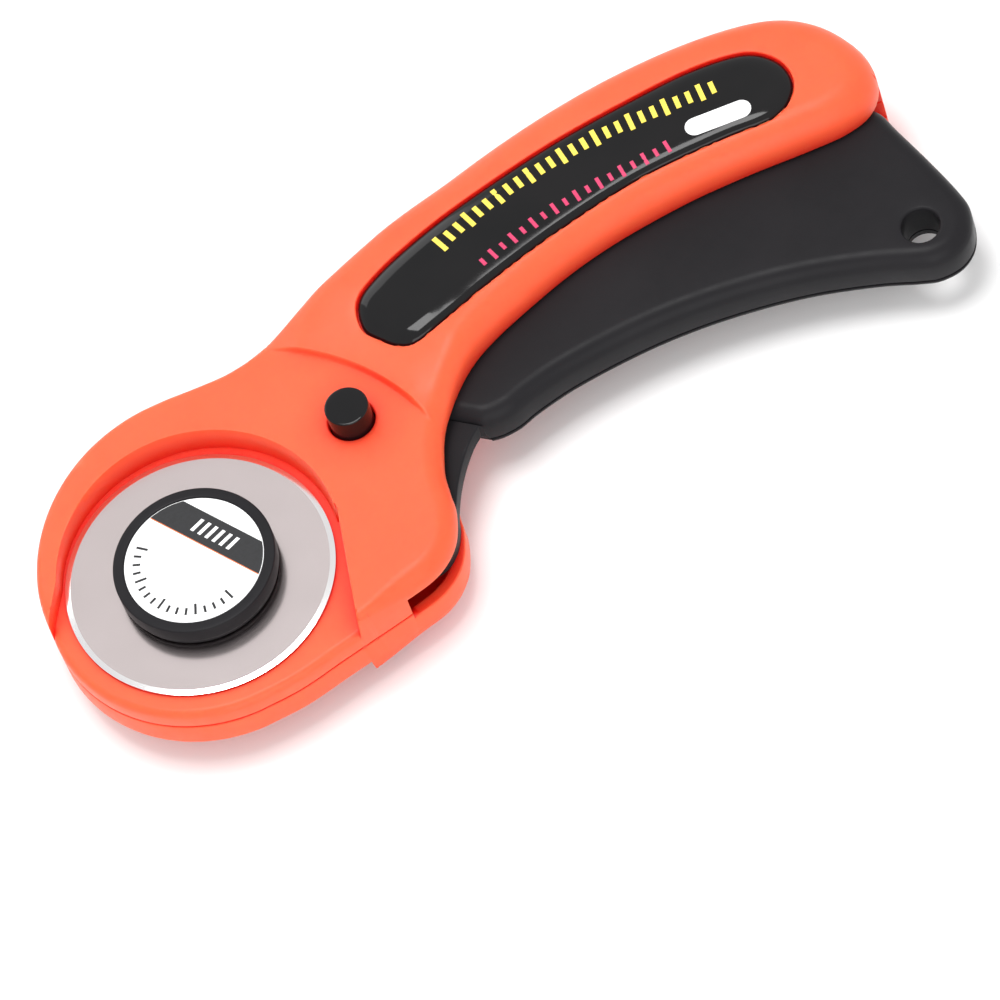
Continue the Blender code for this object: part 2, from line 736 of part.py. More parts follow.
def blade():
    loop = ring((0, 0), BLADE_R, 72)
    bevel = [(ring((0, 0), BEVEL_R, 72), True)]

    def slope(p):
        return 0.15 * ramp(np.hypot(p[:, 0], p[:, 1]), BEVEL_R, BLADE_R)

    return plate("blade", loop, [blade_hole()], lambda p: -slope(p),
                 lambda p: slope(p) - BLADE_THICK, bevel, bevel, 12.0)


def hub_pieces():
    """Everything stacked along the hub's axis, apart from the blade and the nut."""
    cap = [(2.5, GAP), (12.9, GAP), (13.15, GAP + 0.3), (CAP_R, 2.4), (CAP_R, CAP_TOP - 0.6),
           (CAP_R - 0.25, CAP_TOP - 0.15), (CAP_R - 0.7, CAP_TOP), (LABEL_R + 0.6, CAP_TOP),
           (LABEL_R + GAP, CAP_TOP - 0.3), (LABEL_R + GAP, 3.75), (6.4, 3.75), (6.4, 2.0),
           (2.5, 2.0)]
    label = [(0, 4.05), (LABEL_R, 4.05), (LABEL_R, 4.3), (0, 4.3)]
    bolt = [(0, -14.8), (1.9, -14.8), (2.2, -14.4), (2.2, 2.3), (6.0, 2.3), (6.0, 3.1),
            (5.6, 3.45), (0, 3.45)]
    bushing = [(2.5, ARM_TOP + GAP), (4.2, ARM_TOP + GAP), (4.2, -0.65), (3.7, -0.65),
               (3.7, 0.0), (2.5, 0.0)]
    spacer = [(2.5, -8.3), (4.2, -8.3), (4.2, ARM_BACK - GAP), (2.5, ARM_BACK - GAP)]
    return [lathe("hub_cap", cap, (0, 0), 36), lathe("hub_label", label, (0, 0), 36),
            lathe("blade_bolt", bolt, (0, 0), 20), lathe("hub_bushing", bushing, (0, 0), 24),
            lathe("rear_spacer", spacer, (0, 0), 24)]


def wave_washer():
    loop = ring((0, 0), 7.2, 36)

    def wave(p):
        return -8.95 + 0.2 * np.cos(3 * np.arctan2(p[:, 1], p[:, 0]))

    return plate("wave_washer", loop, [ring((0, 0), 2.7, 36)], wave,
                 lambda p: wave(p) - 0.35, [], [], 20.0)


def retaining_nut():
    """Knurled hand nut on the back of the hub."""
    angle = np.linspace(0, 2 * np.pi, 72, endpoint=False)
    radius = NUT_R + 0.4 * np.cos(12 * angle)
    loop = np.stack([radius * np.cos(angle), radius * np.sin(angle)], 1)
    lines = [(inset(loop, 0.8), True)]
    return plate("retaining_nut", loop, [ring((0, 0), 2.4, 20)],
                 lambda p: np.full(len(p), -9.8),
                 lambda p: NUT_BOTTOM + rounded(depth_in(loop, p), 0.8), [], lines, 20.0)


# ---------------------------------------------------------------- small pieces

def case_screw(name, centre):
    head = mirror_z(SCREW_SEAT)
    profile = [(0, head - 1.9), (1.6, head - 1.9), (2.3, head - 1.3), (2.3, head - GAP),
               (0.95, head - GAP), (0.95, 0.2), (0, 0.7)]
    return lathe(name, profile, centre, 16)


def lever_screw(name, centre):
    head = GRIP_BACK + 0.75
    profile = [(0, head - 0.7), (1.7, head - 0.7), (2.0, head - 0.45), (2.0, head - 0.25),
               (0.95, head - 0.25), (0.95, -4.2), (0, -3.8)]
    return lathe(name, profile, centre, 16)


def lock_button():
    """Cross-push button, with a collar that stays between the shells."""
    top, back = 8.3, -12.7
    profile = [(0, back), (BUTTON_R - 0.4, back), (BUTTON_R, back + 0.4), (BUTTON_R, -1.6),
               (4.9, -1.6), (4.9, 1.2), (BUTTON_R, 1.2), (BUTTON_R, top - 0.3),
               (BUTTON_R - 0.3, top), (0, top)]
    return lathe("lock_button", profile, BUTTON, 24)


def friction_ring():
    """Rubber ring that holds the button where it is put."""
    profile = [(BUTTON_R + GAP, -10.3), (5.4, -10.3), (5.4, -8.8), (BUTTON_R + GAP, -8.8)]
    return lathe("button_friction_ring", profile, BUTTON, 20)


def pivot_pieces():
    pin = [(0, -10.1), (1.45, -9.9), (1.45, 0.8), (0, 1.0)]
    bushing = [(1.75, ARM_BACK), (2.35, ARM_BACK), (2.35, ARM_TOP), (1.75, ARM_TOP)]
    return [lathe("lever_pivot_pin", pin, PIVOT, 16), lathe("pivot_bushing", bushing, PIVOT, 20)]


def return_spring(turns=5, sides=5):
    """Compression spring between the lever and the top of the handle."""
    wire, coil = 0.4, 2.5
    low, high = SPRING_Y
    steps = turns * 12
    verts, faces = [], []
    for k in range(steps + 1):
        angle = 2 * np.pi * k / 12
        y = low + wire + (high - low - 2 * wire) * k / steps
        for s in range(sides):
            a = 2 * np.pi * s / sides
            r = coil + wire * math.cos(a)
            verts.append((SPRING_X + r * math.cos(angle), y + wire * math.sin(a),
                          PARTING + r * math.sin(angle)))
    for k in range(steps):
        for s in range(sides):
            n = (s + 1) % sides
            faces.append((k * sides + s, k * sides + n, (k + 1) * sides + n, (k + 1) * sides + s))
    faces.append(tuple(range(sides)))
    faces.append(tuple(steps * sides + s for s in reversed(range(sides))))
    return build("return_spring", verts, faces)


def spring_seat():
    """Cup that holds the spring's upper end."""
    floor = SPRING_Y[1] + GAP
    low, high = SPRING_Y[1] - 1.2, 46.9
    profile = [(3.3, low), (3.9, low), (3.9, high), (0, high), (0, floor), (3.3, floor)]
    verts, faces = turned_mesh(profile, 20)
    return build("spring_seat", [(SPRING_X + x, y, PARTING + z) for x, z, y in verts], faces)


# ---------------------------------------------------------------- assembly

def clear_scene():
    for obj in list(bpy.data.objects):
        bpy.data.objects.remove(obj, do_unlink=True)


def main():
    clear_scene()
    coral = material("coral plastic", CORAL, 0.42)
    black = material("satin black plastic", BLACK, 0.5)
    gloss = material("gloss black", GLOSS_BLACK, 0.15)
    white = material("label white", WHITE, 0.35)
    steel = material("polished steel", STEEL, 0.12, 1.0)
    spring = material("spring steel", STEEL, 0.3, 1.0)
    brass = material("brass", BRASS, 0.3, 1.0)
    rubber = material("rubber", BLACK, 0.8)

    finish(front_shell(), coral)
    finish(rear_shell(), coral)
    finish(grip_panel("front_grip_panel", True), gloss)
    finish(grip_panel("rear_grip_panel", False), gloss)
    for k, centre in enumerate(CASE_SCREWS, 1):
        finish(case_screw(f"case_screw_{k}", centre), spring)
    finish(friction_ring(), rubber)
    finish(spring_seat(), black)
    finish(return_spring(), spring)

    pivot = axis_empty("lever_axis", *PIVOT)
    pin, pivot_bush = pivot_pieces()
    finish(pin, steel)
    finish(pivot_bush, brass, pivot)
    finish(lever_body(), black, pivot)
    finish(lever_back(), black, pivot)
    for k, centre in enumerate(LEVER_SCREWS, 1):
        finish(lever_screw(f"lever_screw_{k}", centre), spring, pivot)

    cap, label, bolt, bushing, spacer = hub_pieces()
    finish(cap, black, pivot)
    finish(label, white, pivot)
    finish(bolt, spring, pivot)
    finish(bushing, brass, pivot)
    finish(spacer, steel, pivot)
    finish(wave_washer(), spring, pivot)
    finish(retaining_nut(), black, pivot)

    hub = axis_empty("blade_axis", 0.0, 0.0, pivot)
    finish(blade(), steel, hub)
    finish(lock_button(), gloss)


main()
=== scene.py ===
"""Looks of the rotary cutter: fine shells, lever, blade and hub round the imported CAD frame.

Design coordinates are millimetres from the hub's axis and the blade's upper face: X along the
tool to the tail, Y across it, Z out of the front. place() turns them into the frame's metres.
"""
import json
import math

import bmesh
import bpy
import numpy as np
from mathutils import Matrix, Vector
from mathutils.geometry import delaunay_2d_cdt
from mathutils.kdtree import KDTree


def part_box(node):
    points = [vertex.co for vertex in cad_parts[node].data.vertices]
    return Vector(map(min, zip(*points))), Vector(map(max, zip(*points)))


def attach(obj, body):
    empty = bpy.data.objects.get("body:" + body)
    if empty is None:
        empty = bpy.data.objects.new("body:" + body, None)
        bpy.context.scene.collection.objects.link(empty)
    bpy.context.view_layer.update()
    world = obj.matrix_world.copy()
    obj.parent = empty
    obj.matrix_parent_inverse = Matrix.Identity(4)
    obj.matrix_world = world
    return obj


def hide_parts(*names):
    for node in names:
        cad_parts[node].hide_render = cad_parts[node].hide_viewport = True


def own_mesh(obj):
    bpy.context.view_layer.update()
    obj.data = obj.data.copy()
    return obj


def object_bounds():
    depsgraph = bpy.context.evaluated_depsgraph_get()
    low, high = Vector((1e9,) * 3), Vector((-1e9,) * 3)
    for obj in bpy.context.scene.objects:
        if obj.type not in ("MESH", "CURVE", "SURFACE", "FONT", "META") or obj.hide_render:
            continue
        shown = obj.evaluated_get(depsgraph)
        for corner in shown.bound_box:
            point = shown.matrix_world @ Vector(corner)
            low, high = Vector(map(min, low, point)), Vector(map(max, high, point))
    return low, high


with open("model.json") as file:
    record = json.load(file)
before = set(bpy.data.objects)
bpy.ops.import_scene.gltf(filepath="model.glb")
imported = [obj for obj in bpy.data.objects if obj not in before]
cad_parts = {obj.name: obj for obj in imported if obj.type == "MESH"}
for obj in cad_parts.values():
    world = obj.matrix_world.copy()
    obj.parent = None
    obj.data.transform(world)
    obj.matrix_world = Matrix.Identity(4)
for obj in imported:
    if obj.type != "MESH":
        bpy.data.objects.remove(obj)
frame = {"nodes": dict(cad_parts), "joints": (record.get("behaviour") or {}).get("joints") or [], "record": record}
CAD_LOW, CAD_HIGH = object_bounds()
MM = 0.001


def middle(node):
    low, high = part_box(node)
    return (low + high) / 2


BLADE_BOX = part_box("blade")
HUB = Vector((middle("blade").x, middle("blade").y, BLADE_BOX[1].z))


def local(point):
    """A point of the frame in design millimetres."""
    return tuple((Vector(point) - HUB) / MM)


def place(x, y, z):
    """Design millimetres to the frame's metres."""
    return HUB + Vector((x, y, z)) * MM


def centre_of(node):
    """A node's axis in design millimetres."""
    return local(middle(node))[:2]


def heights(node):
    """A node's lowest and highest Z in design millimetres."""
    low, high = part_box(node)
    return local(low)[2], local(high)[2]


JOINTS = {j["name"]: j for j in frame["joints"]}
PIVOT = local(JOINTS["lever_squeeze"]["pos_m"])[:2]
SQUEEZE_DEG = JOINTS["lever_squeeze"]["range_deg"][1]
OPENINGS = frame["record"]["physics"]["openings"]
HANG_BOX = [Vector(c) for c in OPENINGS[0]["box_m"]]
HANG_HOLE = local((HANG_BOX[0] + HANG_BOX[1]) / 2)[:2]
BUTTON = centre_of("lock_button")
CASE_SCREWS = [centre_of(f"case_screw_{k}") for k in range(1, 5)]
LEVER_SCREWS = [centre_of(f"lever_screw_{k}") for k in range(1, 3)]
BODIES = frame["record"]["behaviour"]["bodies"]
BODY_OF = {node: body for body, nodes in BODIES.items() for node in nodes}

# blade and hub
BLADE_R = (BLADE_BOX[1].x - BLADE_BOX[0].x) / 2 / MM
BLADE_THICK = (BLADE_BOX[1].z - BLADE_BOX[0].z) / MM
BEVEL_R = 21.6
BEVEL_DROP = 0.15                 # how much each face falls to the edge
CAP_R = 13.5
CAP_TOP = heights("hub_cap")[1]
LABEL_R = 11.5
LABEL_Z = heights("hub_label")[1]
SLOT_R = 4.7
NUT_R = 8.5

# the two shells, mirrored about the parting plane
GAP = 0.3
PARTING = -4.5
FLOOR_Z = -0.65
HEAD_Z = 4.0
RING_DROP = 1.8
CREASE_STEP = 1.1
CROWN_Z = 7.0
WALL = 2.0
DRAFT = 0.15
LIP_OPEN = -0.1
LIP_CLOSED = PARTING + GAP / 2
LIP_NOSE = -3.4
LIP_ROUND = 0.3
RIM_R = 26.0
HEAD_SWELL = 6.1
RECESS_C = (0.5, 0.6)
RECESS_R = 23.55
RECESS_RUN = 0.5
RING_END = (-22.8, 5.7)
RING_END_DEG = 242.6
NOTCH_X = 30.0
TAIL_SLOT_Y = 41.4
LIP_STEP_Y = 6.0
POCKET_DEPTH = 1.2
SCREW_HOLE_R = 1.3
HEAD_HOLE_R = 2.7                 # seat of a case screw's head in the back shell
BOSS_R = 3.0
REAR_BOSS_R = 3.4
PIVOT_BOSS_R = 3.6
PIN_HOLE_R = 1.75
PIN_HOLE_END = 1.3
DISH_R = 19.5
REAR_RIM = 2.0
CREASE_C = (4.7, -3.6)
CREASE_R = 41.2

# lever
GRIP_TOP = -0.5
GRIP_BACK = -8.5
GRIP_ROUND = 3.0
SEAM_Z = -7.0
SEAM_ROUND = 0.25
GRIP_WALL = 3.2
GRIP_END = (47.2, 11.4)           # a point on the grip's straight end, and the way past it
GRIP_END_OUT = (2.3, 3.3)
ARM_TOP = -2.2
ARM_BACK = -5.2
GRIP_HOLLOW = -2.7
HANG_R = 3.2
BUTTON_R = 3.65
SCREW_SEAT = 1.0

STEP = 0.9                        # length of a facet on an outline
GRID = 2.4                        # spacing of the points inside a surface
ARC_SHARES = [1 - math.cos(math.radians(a)) for a in (14, 28, 42, 56, 70, 82, 90)]


# ---- outlines

def polar(radius, angle, centre=(0, 0)):
    """Points at a radius and an angle in radians; either may be one value for each point."""
    return np.stack([centre[0] + radius * np.cos(angle), centre[1] + radius * np.sin(angle)], 1)


def arc(centre, radius, start, end, count):
    """Points on a circle, angles in degrees."""
    return polar(radius, np.radians(np.linspace(start, end, count)), centre)


def heading(degrees):
    return np.array([math.cos(math.radians(degrees)), math.sin(math.radians(degrees))])


def left_of(direction):
    return np.array([-direction[1], direction[0]])


def ring(centre, radius, count=64):
    """A closed circle."""
    return arc(centre, radius, 0, 360 * (count - 1) / count, count)


def spline(points, step, closed=False):
    """Catmull-Rom curve through the points, cut into facets of about one step."""
    pts = np.array(points, float)
    if closed:
        pts = np.vstack([pts[-1], pts, pts[:2]])
    else:
        pts = np.vstack([2 * pts[0] - pts[1], pts, 2 * pts[-1] - pts[-2]])
    out = []
    for a, b, c, d in zip(pts, pts[1:], pts[2:], pts[3:]):
        count = max(1, int(round(np.linalg.norm(c - b) / step)))
        for t in np.arange(count) / count:
            out.append(0.5 * (2 * b + (c - a) * t + (2 * a - 5 * b + 4 * c - d) * t * t
                              + (3 * b - a - 3 * c + d) * t ** 3))
    if not closed:
        out.append(pts[-2])
    return np.array(out)


def shell_outline(step):
    """Outline of both shells, anticlockwise seen from the front."""
    bottom = arc((0, 0), RIM_R, 180, 272, int(RIM_R * 1.6 / step) + 2)
    nose = spline([(1.7, -25.95), (9.0, -25.0), (17.3, -22.7), (30.0, -19.2), (36.3, -16.9),
                   (40.4, -12.9), (42.4, -7.3), (42.6, -3.0), (43.2, 2.0), (46.4, 10.1), (54.4, 19.2),
                   (67.7, 26.0), (80.0, 30.3), (94.0, 33.0), (106.0, 34.0), (117.0, 34.2),
                   (124.5, 34.7), (129.6, 36.8), (132.3, 41.5), (131.4, 47.8), (126.8, 54.8),
                   (119.5, 59.3), (108.0, 60.9), (93.5, 60.2), (78.5, 57.5), (63.2, 53.0),
                   (47.4, 46.9), (30.8, 39.1), (21.7, 34.2), (15.8, 32.4), (10.0, 32.0),
                   (4.8, 31.95), (0.8, 31.7)], step)
    # from the top of the head to its left end the radius shrinks evenly with the angle
    turn = np.radians(np.linspace(90, 176, int(46 / step)))
    share = (np.pi - turn) / np.radians(97)
    left = polar(RIM_R + HEAD_SWELL * share ** 1.15, turn)
    return np.vstack([bottom, nose, left])


def panel_outline(step):
    """Outline of the grip panel's pocket."""
    return spline([(38.5, 29.4), (40.3, 26.5), (43.2, 23.6), (46.8, 22.8), (53.9, 25.3),
                   (61.1, 28.3), (74.7, 32.9), (90.1, 36.7), (104.9, 38.1), (113.7, 38.3),
                   (118.0, 41.0), (119.4, 45.0), (118.0, 49.4), (113.5, 52.8), (105.0, 53.6),
                   (95.1, 52.6), (78.5, 49.8), (61.5, 45.2), (50.9, 41.3), (43.3, 37.5),
                   (39.2, 34.0)], step, closed=True)


def lever_outline(step):
    """Outline of the lever: hub end, thin arm round the pivot, then the grip."""
    hub = arc((0, 0), 7.0, 90, 270, int(22 / step) + 3)
    body = spline([(8.0, -7.2), (20.0, -8.6), (28.0, -11.5), (33.5, -13.8), (37.5, -13.4),
                   (40.3, -10.9), (41.9, -7.5), (42.5, -4.8), (44.1, -0.7), (46.2, 3.2),
                   (48.6, 6.6), (50.6, 8.6)], step)
    grip = spline([(52.0, 8.5), (54.0, 8.3), (57.2, 8.8), (61.0, 10.3), (68.5, 12.3),
                   (80.0, 13.9), (90.0, 14.3), (100.0, 13.7), (110.0, 12.2), (120.0, 9.5),
                   (126.5, 7.1), (130.0, 6.2), (134.0, 6.9), (137.0, 9.6), (138.4, 14.2),
                   (137.7, 18.5), (135.3, 26.0), (132.5, 33.8), (131.0, 38.0), (128.4, 40.4),
                   (124.0, 40.9), (105.0, 40.0), (94.0, 38.4), (80.0, 34.6), (66.0, 29.6),
                   (57.0, 25.0), (47.5, 17.5), (41.0, 11.4), (35.5, 8.4), (28.0, 7.4),
                   (18.0, 7.2), (7.5, 7.1)], step)
    return np.vstack([hub, body, grip])


def grip_outline(step):
    """The grip's part of the lever outline, closed along the end of the grip."""
    loop = lever_outline(step)
    return loop[past_grip_end(loop) > 0.3]


def blade_hole(count=60):
    """Three-lobed hole in the middle of the blade."""
    angle = np.linspace(0, 2 * np.pi, count, endpoint=False)
    return polar(4.6 + 0.6 * np.cos(3 * angle), angle)


def turned(point, degrees):
    """A point of the lever after it has turned about its pivot."""
    c, s = math.cos(math.radians(degrees)), math.sin(math.radians(degrees))
    x, y = point[0] - PIVOT[0], point[1] - PIVOT[1]
    return (PIVOT[0] + c * x - s * y, PIVOT[1] + s * x + c * y)


def hub_slot(radius=SLOT_R):
    """Slot that the hub swings along, from rest to the fully squeezed place."""
    end = turned((0.0, 0.0), SQUEEZE_DEG)
    return np.vstack([arc(end, radius, 180, 360, 25), arc((0, 0), radius, 0, 180, 25)])


def inset(loop, distance):
    """The loop moved inwards; distance may be a number or one value for each point."""
    ahead = np.roll(loop, -1, 0) - loop
    behind = loop - np.roll(loop, 1, 0)
    along = ahead / np.linalg.norm(ahead, axis=1)[:, None]
    along = along + behind / np.linalg.norm(behind, axis=1)[:, None]
    along /= np.linalg.norm(along, axis=1)[:, None]
    return loop + np.stack([-along[:, 1], along[:, 0]], 1) * np.reshape(distance, (-1, 1))


# ---- distances

def depth_in(loop, p):
    """Distance from each point to the loop, positive inside."""
    best = np.full(len(p), 1e9)
    inside = np.zeros(len(p), bool)
    for (ax, ay), (bx, by) in zip(loop, np.roll(loop, -1, 0)):
        ex, ey = bx - ax, by - ay
        t = ((p[:, 0] - ax) * ex + (p[:, 1] - ay) * ey) / (ex * ex + ey * ey + 1e-12)
        t = np.clip(t, 0, 1)
        gap = (p[:, 0] - ax - t * ex) ** 2 + (p[:, 1] - ay - t * ey) ** 2
        best = np.minimum(best, gap)
        if ey:
            crosses = (ay > p[:, 1]) != (by > p[:, 1])
            inside ^= crosses & (p[:, 0] < ax + ex * (p[:, 1] - ay) / ey)
    best = np.sqrt(best)
    return np.where(inside, best, -best)


def away_from(centre, p):
    return np.hypot(p[:, 0] - centre[0], p[:, 1] - centre[1])


def smooth(value, low, high):
    """Soft step from 0 to 1."""
    t = np.clip((value - low) / (high - low), 0, 1)
    return t * t * (3 - 2 * t)


def ramp(value, low, high):
    """Straight step from 0 to 1."""
    return np.clip((value - low) / (high - low), 0, 1)


def soft_min(a, b, width):
    """The lower of two heights, with their meeting line rounded."""
    mix = np.clip(0.5 + 0.5 * (b - a) / width, 0, 1)
    return b * (1 - mix) + a * mix - width * mix * (1 - mix)


def rounded(depth, radius):
    """How far a quarter-round edge lies below the flat, at a depth in from the edge."""
    inward = np.clip(radius - depth, 0, radius)
    return radius - np.sqrt(np.maximum(radius * radius - inward * inward, 0))


def right_line(y):
    """Right side of the low floor, where the raised plane of the head ends."""
    return 24.4 + 0.149 * y


def low_region(p):
    """Positive on the low floor round the blade, negative on the raised parts."""
    return np.maximum(RECESS_R - away_from(RECESS_C, p), below_ring(p))


def below_ring(p):
    """Positive on the part of the low floor that runs out to the rim."""
    sides = np.minimum(past_ring_end(p), right_line(p[:, 1]) - p[:, 0])
    return np.minimum(sides, 4.0 - 0.15 * p[:, 0] - p[:, 1])


def ring_end_line():
    """Direction of the ring's tapering inner edge, and the direction across it."""
    along = heading(RING_END_DEG)
    return along, left_of(along)


def past_ring_end(p):
    """Distance across the ring's tapering edge, positive on the low floor's side."""
    return (p - np.array(RING_END)) @ ring_end_line()[1]


def low_border(out, count=120):
    """The low floor's border, moved outwards by a distance."""
    right = [(right_line(y) + out, y) for y in np.linspace(-27.0, 0.0, 30)]
    circle = arc(RECESS_C, RECESS_R + out, -1, 180, count)
    along, across = ring_end_line()
    left = np.array([np.array(RING_END) + along * s - across * out
                     for s in np.linspace(-1.5, 9.0, 18)])
    left = left[away_from(RECESS_C, left) > RECESS_R + out + 0.02]
    return np.vstack([right, circle[below_ring(circle) < -out], left])


def past_crease(p):
    """Distance past the curved crease between the head and the handle."""
    return away_from(CREASE_C, p) - CREASE_R


def past_grip_end(p):
    """Distance past the straight end of the grip, from the arm's side."""
    out = (p - np.array(GRIP_END)) @ np.array(GRIP_END_OUT)
    return out / math.hypot(*GRIP_END_OUT)


# ---- heights

def edge_radius(p):
    """Rounding of a shell's outer edge."""
    return 1.3 + 1.9 * smooth(p[:, 0], 20, 32) + 1.9 * smooth(p[:, 0], 46, 62)


def rear_floor(p):
    """Low floor of the back shell: a dish with a thick rim, measured on the mirrored back."""
    away = away_from((0, 0), p)
    return FLOOR_Z + REAR_RIM * smooth(away, DISH_R - 0.25, DISH_R + 0.25)


def crown_height(p, floor=FLOOR_Z):
    """The shell's upper surface before its edges are rounded."""
    past = past_crease(p)
    crease = CREASE_STEP * smooth(p[:, 1], 2, 14) * smooth(depth_in(SHELL, p), 0.5, 6)
    head = HEAD_Z - RING_DROP * ramp(-p[:, 0], 0, 25) ** 2
    step = crease * smooth(past, -0.35, 0.35)
    rise = (CROWN_Z - HEAD_Z - crease) * smooth(past, 0, 13)
    slope = (HEAD_Z - FLOOR_Z) / RECESS_RUN
    wall = floor + (RECESS_RUN / 2 - low_region(p)) * slope
    return soft_min(head + step + rise, np.maximum(wall, floor), 0.9)


def outer_height(p, loop, panel, holes, floor=FLOOR_Z):
    """Outer surface of a shell."""
    z = crown_height(p, floor) - rounded(depth_in(loop, p), edge_radius(p))
    in_panel = depth_in(panel, p)
    z = z - POCKET_DEPTH * ramp(in_panel, 0, DRAFT)
    z = z - np.where(in_panel < 0, rounded(-in_panel, 0.3), 0)
    for hole in holes:
        z = z - rounded(-depth_in(hole, p), 0.3)
    return z


def lip_height(p, nose_lip):
    """Free edge of a shell's side wall: shut, or open where the lever comes out."""
    divide = np.interp(p[:, 0], (30, 60, 90, 120, 140), (10, 38, 46, 45, TAIL_SLOT_Y))
    is_open = (p[:, 0] > NOTCH_X) & (p[:, 1] < np.where(p[:, 0] > 124, TAIL_SLOT_Y, divide))
    lip = np.where(p[:, 1] < LIP_STEP_Y, nose_lip, LIP_OPEN)
    return np.where(is_open, lip, LIP_CLOSED)


def inner_height(p, loop, nose_lip):
    """Inner surface of a shell, before its bosses."""
    ceiling = 1.6 + 1.8 * smooth(past_crease(p), 2, 10)
    low = ramp(low_region(p), -WALL - DRAFT, -WALL)
    ceiling = ceiling * (1 - low) + (FLOOR_Z - 1.2) * low
    depth = depth_in(loop, p)
    inside = ramp(depth, WALL, WALL + DRAFT)
    lip = lip_height(p, nose_lip) + rounded(depth, LIP_ROUND)
    lip = lip + rounded(WALL - depth, LIP_ROUND)
    return lip * (1 - inside) + ceiling * inside


def add_boss(z, p, centre, radius, end, hole_radius, hole_end):
    """Lower a round boss out of an inner surface, with a blind hole in it."""
    away = away_from(centre, p)
    z = np.where(away < radius + 0.01, end, z)
    if hole_radius:
        z = np.where(away < hole_radius + 0.01, hole_end, z)
    return z


def boss_rings(centre, radius, hole_radius):
    """Outline pairs on either side of a boss's wall and of its hole's wall."""
    rings = [ring(centre, radius, 40), ring(centre, radius + DRAFT, 40)]
    if hole_radius:
        rings += [ring(centre, hole_radius, 28), ring(centre, hole_radius + DRAFT, 28)]
    return rings


def mirror_z(height):
    """The same height on the back of the tool."""
    return 2 * PARTING - height


# ---- meshes

def triangulate(loops, lines, extra):
    """Triangles over closed loops and open lines, and the points they use."""
    points, edges = [], []
    for loop in loops:
        edges += [(len(points) + i, len(points) + (i + 1) % len(loop)) for i in range(len(loop))]
        points += [tuple(q) for q in loop]
    for line in lines:
        edges += [(len(points) + i, len(points) + i + 1) for i in range(len(line) - 1)]
        points += [tuple(q) for q in line]
    points += [tuple(q) for q in extra]
    found = delaunay_2d_cdt([Vector(q) for q in points], edges, [], 0, 1e-4)
    return np.array([tuple(v) for v in found[0]]), [tuple(f) for f in found[2]]


def tree_of(points):
    tree = KDTree(len(points))
    for k, q in enumerate(points):
        tree.insert((q[0], q[1], 0), k)
    tree.balance()
    return tree


def hex_grid(loop, spacing):
    """Evenly spaced points over the loop's box."""
    (x0, y0), (x1, y1) = loop.min(0), loop.max(0)
    out = []
    for k, y in enumerate(np.arange(y0, y1, spacing * 0.866)):
        out += [(x, y) for x in np.arange(x0 + (k % 2) * spacing / 2, x1, spacing)]
    return np.array(out)


def clear_of(points, others, distance):
    """The points that are at least a distance from all the others."""
    tree = tree_of(others)
    far = [tree.find((q[0], q[1], 0))[2] > distance for q in points]
    return points[np.array(far, bool)]


def inside_all(p, loop, holes, margin=1e-3):
    keep = depth_in(loop, p) > margin
    for hole in holes:
        keep &= depth_in(hole, p) < -margin
    return keep


def surface(loop, holes, closed, lines, loose, spacing):
    """One triangulated surface inside the loop and outside the holes."""
    given = np.vstack([loop] + holes + closed + lines)
    if len(loose):
        loose = loose[inside_all(loose, loop, holes, 0.015)]
        loose = clear_of(loose, given, 0.02)
        given = np.vstack([given, loose])
    grid = hex_grid(loop, spacing)
    grid = grid[inside_all(grid, loop, holes, spacing * 0.3)]
    grid = clear_of(grid, given, spacing * 0.45)
    extra = np.vstack([loose, grid]) if len(loose) else grid
    points, faces = triangulate([loop] + holes + closed, lines, extra)
    middle_of = np.array([points[list(f)].mean(0) for f in faces])
    keep = inside_all(middle_of, loop, holes)
    return points, [f for f, k in zip(faces, keep) if k]


def shared_border(loop, features):
    """The loop with a point added wherever a feature line crosses it."""
    closed = [f for f, is_closed in features if is_closed]
    lines = [f for f, is_closed in features if not is_closed]
    points, faces = triangulate([loop] + closed, lines, [])
    used = points[sorted({i for f in faces for i in f})]
    order = []
    for i, (a, b) in enumerate(zip(loop, np.roll(loop, -1, 0))):
        along = b - a
        t = (used - a) @ along / (along @ along)
        off = np.hypot(*(used - a - np.outer(t, along)).T)
        on = (off < 2e-4) & (t > -1e-4) & (t < 1 - 1e-4)
        order += [(i + max(float(q), 0.0), tuple(v)) for q, v in zip(t[on], used[on])]
    order.sort()
    return np.array([v for _, v in order])


def plate(name, loop, holes, top, bottom, top_lines=(), bottom_lines=(), top_loose=(),
          bottom_loose=(), spacing=GRID):
    """Closed body between two height functions over one outline.

    The lines are (points, closed) pairs that a surface keeps as edges, and the loose points
    only make it finer where it bends.
    """
    features = list(top_lines) + list(bottom_lines)
    border = shared_border(loop, features)
    holes = [shared_border(hole, features) for hole in holes]
    layers = []
    for lines, loose in ((top_lines, top_loose), (bottom_lines, bottom_loose)):
        closed = [f for f, is_closed in lines if is_closed]
        open_lines = [f for f, is_closed in lines if not is_closed]
        points = np.vstack(loose) if len(loose) else np.zeros((0, 2))
        layers.append(surface(border, holes, closed, open_lines, points, spacing))
    (tp, tf), (bp, bf) = layers
    verts = np.vstack([np.column_stack([tp, top(tp)]), np.column_stack([bp, bottom(bp)])])
    shift = len(tp)
    faces = [facing(tp, f, True) for f in tf]
    faces += [tuple(i + shift for i in facing(bp, f, False)) for f in bf]
    top_tree, bottom_tree = tree_of(tp), tree_of(bp)
    for edge_loop in [border] + holes:
        up = [top_tree.find((q[0], q[1], 0))[1] for q in edge_loop]
        down = [bottom_tree.find((q[0], q[1], 0))[1] + shift for q in edge_loop]
        for k in range(len(edge_loop)):
            n = (k + 1) % len(edge_loop)
            faces.append((up[k], down[k], down[n], up[n]))
    return build(name, verts, faces)


